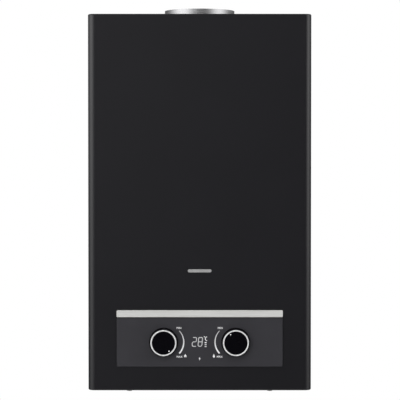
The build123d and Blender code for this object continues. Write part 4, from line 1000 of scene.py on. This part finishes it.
class HEATER_OT_finish_works(bpy.types.Operator):
    """Finish the valves, the burner, the heat exchanger and the electrics"""

    bl_idname = "heater.finish_works"
    bl_label = "Finish the works"

    def execute(self, context):
        look = context.scene.heater_works
        self.finish_brass_and_copper(look)
        self.finish_steel_and_castings(look)
        self.finish_mouldings(look)
        return {"FINISHED"}

    def finish_brass_and_copper(self, look):
        """Valves, connectors and the heat exchanger."""
        brass = turned_metal("valve_brass", look.brass_colour, roughness=0.26, tarnish=0.55)
        paint(brass, "gas_spindle", "water_spindle", "spindle_glands", "plunger", "drain_plug",
              "water_valve_body", "diaphragm_cover", "gas_nozzles", "gas_inlet", "cold_inlet", "pipe_nuts")
        low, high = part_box("combustion_chamber")
        copper = heated_copper("tinned_copper", look.copper_colour, low.z, high.z)
        paint(copper, "combustion_chamber", "exchanger_fins", "exchanger_tube", "chamber_coil", "cold_riser")
        connector_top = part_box("pipe_nuts")[1].z
        pipe = copper_with_brass_foot(
            "brass_ended_copper", look.copper_colour, look.brass_colour, connector_top)
        paint(pipe, "hot_pipe")

    def finish_steel_and_castings(self, look):
        """Burner, contacts, rails, valve casting and thermostats."""
        steel = drawn_metal("pressed_stainless", look.steel_colour, roughness=0.32, stretch=(1.0, 0.1, 1.0))
        paint(steel, "burner_blades", "switch_lever", "door_contact", "battery_contacts", "poppet_spring",
              "electrode_rods")
        paint(spangled_zinc("plated_rail", shade(look.steel_colour, 0.8)), "gas_manifold", "gas_feed")
        paint(sand_cast("cast_gas_valve", look.cast_colour), "gas_valve_body")
        aluminium = sand_cast("thermostat_aluminium", shade(look.cast_colour, 1.2))
        paint(aluminium, "spill_thermostat", "overheat_thermostat")

    def finish_mouldings(self, look):
        """Ceramic, plastics, rubber and the cells."""
        ceramic = moulded("glazed_ceramic", look.ceramic_colour, roughness=0.2, grain=0.00002)
        paint(ceramic, "electrode_insulators")
        paint(moulded("dark_moulding", look.moulding_colour, roughness=0.44), "solenoid", "microswitch",
              "ignition_module", "battery_box", "battery_door")
        rubber = moulded("matt_rubber", look.rubber_colour, roughness=0.62)
        paint(rubber, "gas_poppet", "diaphragm", "electrode_leads")
        paint(moulded("filter_white", look.strainer_colour, roughness=0.5), "inlet_strainer")
        jacket = drawn_metal("cell_jacket_blue", look.cell_colour, roughness=0.34, stretch=(1.0, 1.0, 0.2),
                             metallic=0.4)
        paint(jacket, "battery_cells")


class HEATER_OT_wind_spring(bpy.types.Operator):
    """Wind the return spring between the poppet's two seats, in place of the CAD spring"""

    bl_idname = "heater.wind_spring"
    bl_label = "Wind the return spring"

    def execute(self, context):
        look = context.scene.heater_works
        low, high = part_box("poppet_spring")
        steel = drawn_metal("spring_steel", look.steel_colour, roughness=0.28, stretch=(0.2, 1.0, 1.0))
        spring = settle(return_spring("return_spring", low, high, look), steel, "heater")
        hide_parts("poppet_spring")
        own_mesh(spring)
        return {"FINISHED"}


class HEATER_OT_wind_threads(bpy.types.Operator):
    """Wind a thread on each of the three connectors"""

    bl_idname = "heater.wind_threads"
    bl_label = "Wind the threads"

    def execute(self, context):
        look = context.scene.heater_works
        brass = turned_metal("thread_brass", look.brass_colour, roughness=0.26, tarnish=0.55)
        connectors = {"gas_thread": "gas_inlet", "cold_thread": "cold_inlet", "hot_thread": "hot_pipe"}
        for name, connector in connectors.items():
            foot, radius = connector_foot(connector)
            settle(thread(name, foot, radius, look), brass, "heater")
        return {"FINISHED"}


class HEATER_OT_set_studio(bpy.types.Operator):
    """Set the floor, the lamps, the white surround and the camera"""

    bl_idname = "heater.set_studio"
    bl_label = "Set the studio"

    def execute(self, context):
        scene = context.scene
        studio = scene.heater_studio
        self.lay_floor(studio)
        self.hang_lamps(scene, studio)
        self.light_surround(scene, studio)
        self.set_camera(scene, studio)
        scene.view_settings.view_transform = "Standard"
        return {"FINISHED"}

    def lay_floor(self, studio):
        """A pale floor, white to the eye."""
        start()
        bpy.ops.mesh.primitive_plane_add(size=floor_size, location=(0.0, 0.0, case_low.z - studio.floor_drop))
        floor = place_here(bpy.context.object, "studio_floor")
        finish = Finish("pale_floor", Roughness=0.9)
        finish.tone(finish.noise(scale=2.0), studio.floor_colour, dark=0.99, light=1.01)
        glow = finish.node("Emission").outputs[0]
        surface = finish.mixed(finish.seen(), finish.shader.outputs[0], glow)
        finish.feed(finish.nodes["Material Output"], Surface=surface)
        floor.data.materials.append(finish.material)

    def stand(self, scene, name, data, spot, aim):
        """A lamp or camera at its place, turned to what it looks at."""
        holder = bpy.data.objects.new(name, data)
        holder.location = spot
        holder.rotation_euler = (aim - Vector(spot)).to_track_quat("-Z", "Y").to_euler()
        scene.collection.objects.link(holder)
        return holder

    def hang_lamps(self, scene, studio):
        """Soft lamps that light the heater and don't show in glossy surfaces."""
        aim = Vector((0.0, case_low.y / 2, studio.aim_height))
        for lamp in lamps:
            light = bpy.data.lights.new(lamp.name, "AREA")
            light.shape = "RECTANGLE"
            light.size = lamp.width
            light.size_y = lamp.height
            light.energy = getattr(studio, lamp.power)
            self.stand(scene, lamp.name, light, lamp.spot, aim).visible_glossy = False

    def set_camera(self, scene, studio):
        """A camera in front of the heater, a little above its middle."""
        camera = bpy.data.cameras.new("front_camera")
        camera.lens = studio.lens
        camera.sensor_width = sensor_width
        camera.clip_end = view_depth
        spot = (studio.camera_side, -studio.camera_back, studio.camera_height)
        aim = Vector((studio.camera_side, case_low.y, studio.aim_height))
        scene.camera = self.stand(scene, "front_camera", camera, spot, aim)

    def light_surround(self, scene, studio):
        """White to the eye, even light on matt surfaces, and a room of soft panels in glossy ones."""
        scene.world = bpy.data.worlds.new("studio_surround")
        tree = Shading(scene.world)
        pure = (1.0, 1.0, 1.0, 1.0)
        even = tree.feed(tree.nodes["Background"], Color=pure, Strength=studio.ambient).outputs[0]
        white = tree.node("Background", Color=pure).outputs[0]
        way = tree.node("SeparateXYZ", Vector=tree.node("TexCoord").outputs["Generated"]).outputs
        bearing = tree.spread(tree.combined("ARCTAN2", way["X"], way["Y"]), 0.0, 1.0, -math.pi, math.pi)
        rise, fall = tree.spread(way["Z"], *room_rise), tree.spread(way["Z"], *room_fall)
        room = self.grey_light(tree, bearing, room_levels, Strength=tree.combined("MULTIPLY", rise, fall))
        ground = self.grey_light(tree, bearing, ground_levels)
        mirrored = tree.mixed(tree.spread(way["Z"], *ground_share), room, ground)
        lit = tree.mixed(tree.node("LightPath").outputs["Is Glossy Ray"], even, mirrored)
        tree.feed(tree.nodes["World Output"], Surface=tree.mixed(tree.seen(), lit, white))

    def grey_light(self, tree, bearing, levels, **values):
        """Grey light that changes with the bearing."""
        stops = ((place, (level, level, level)) for place, level in levels)
        return tree.node("Background", Color=tree.ramp(bearing, *stops), **values).outputs[0]


operators = (
    HEATER_OT_coat_casing,
    HEATER_OT_finish_flue,
    HEATER_OT_finish_panel,
    HEATER_OT_finish_knobs,
    HEATER_OT_print_scales,
    HEATER_OT_print_signs,
    HEATER_OT_print_readout,
    HEATER_OT_finish_works,
    HEATER_OT_wind_spring,
    HEATER_OT_wind_threads,
    HEATER_OT_set_studio,
)

settings = {
    "heater_casing": HeaterCasingFinish,
    "heater_panel": HeaterPanelFinish,
    "heater_prints": HeaterPrintSizes,
    "heater_works": HeaterWorksFinish,
    "heater_studio": HeaterStudio,
}


class HEATER_PT_sidebar(bpy.types.Panel):
    """Finishes and steps of the heater"""

    bl_label = "Gas water heater"
    bl_idname = "HEATER_PT_sidebar"
    bl_space_type = "VIEW_3D"
    bl_region_type = "UI"
    bl_category = "Heater"

    def draw(self, context):
        for operator in operators:
            self.layout.operator(operator.bl_idname)
        for name, group in settings.items():
            box = self.layout.box()
            box.label(text=group.__doc__)
            for field in group.__annotations__:
                box.prop(getattr(context.scene, name), field)


def register():
    for name, group in settings.items():
        bpy.utils.register_class(group)
        setattr(bpy.types.Scene, name, bpy.props.PointerProperty(type=group))
    for operator in operators:
        bpy.utils.register_class(operator)
    bpy.utils.register_class(HEATER_PT_sidebar)


def unregister():
    bpy.utils.unregister_class(HEATER_PT_sidebar)
    for operator in reversed(operators):
        bpy.utils.unregister_class(operator)
    for name, group in reversed(settings.items()):
        delattr(bpy.types.Scene, name)
        bpy.utils.unregister_class(group)


def main():
    register()
    for operator in operators:
        family, step = operator.bl_idname.split(".")
        getattr(getattr(bpy.ops, family), step)()


if __name__ == "__main__":
    main()
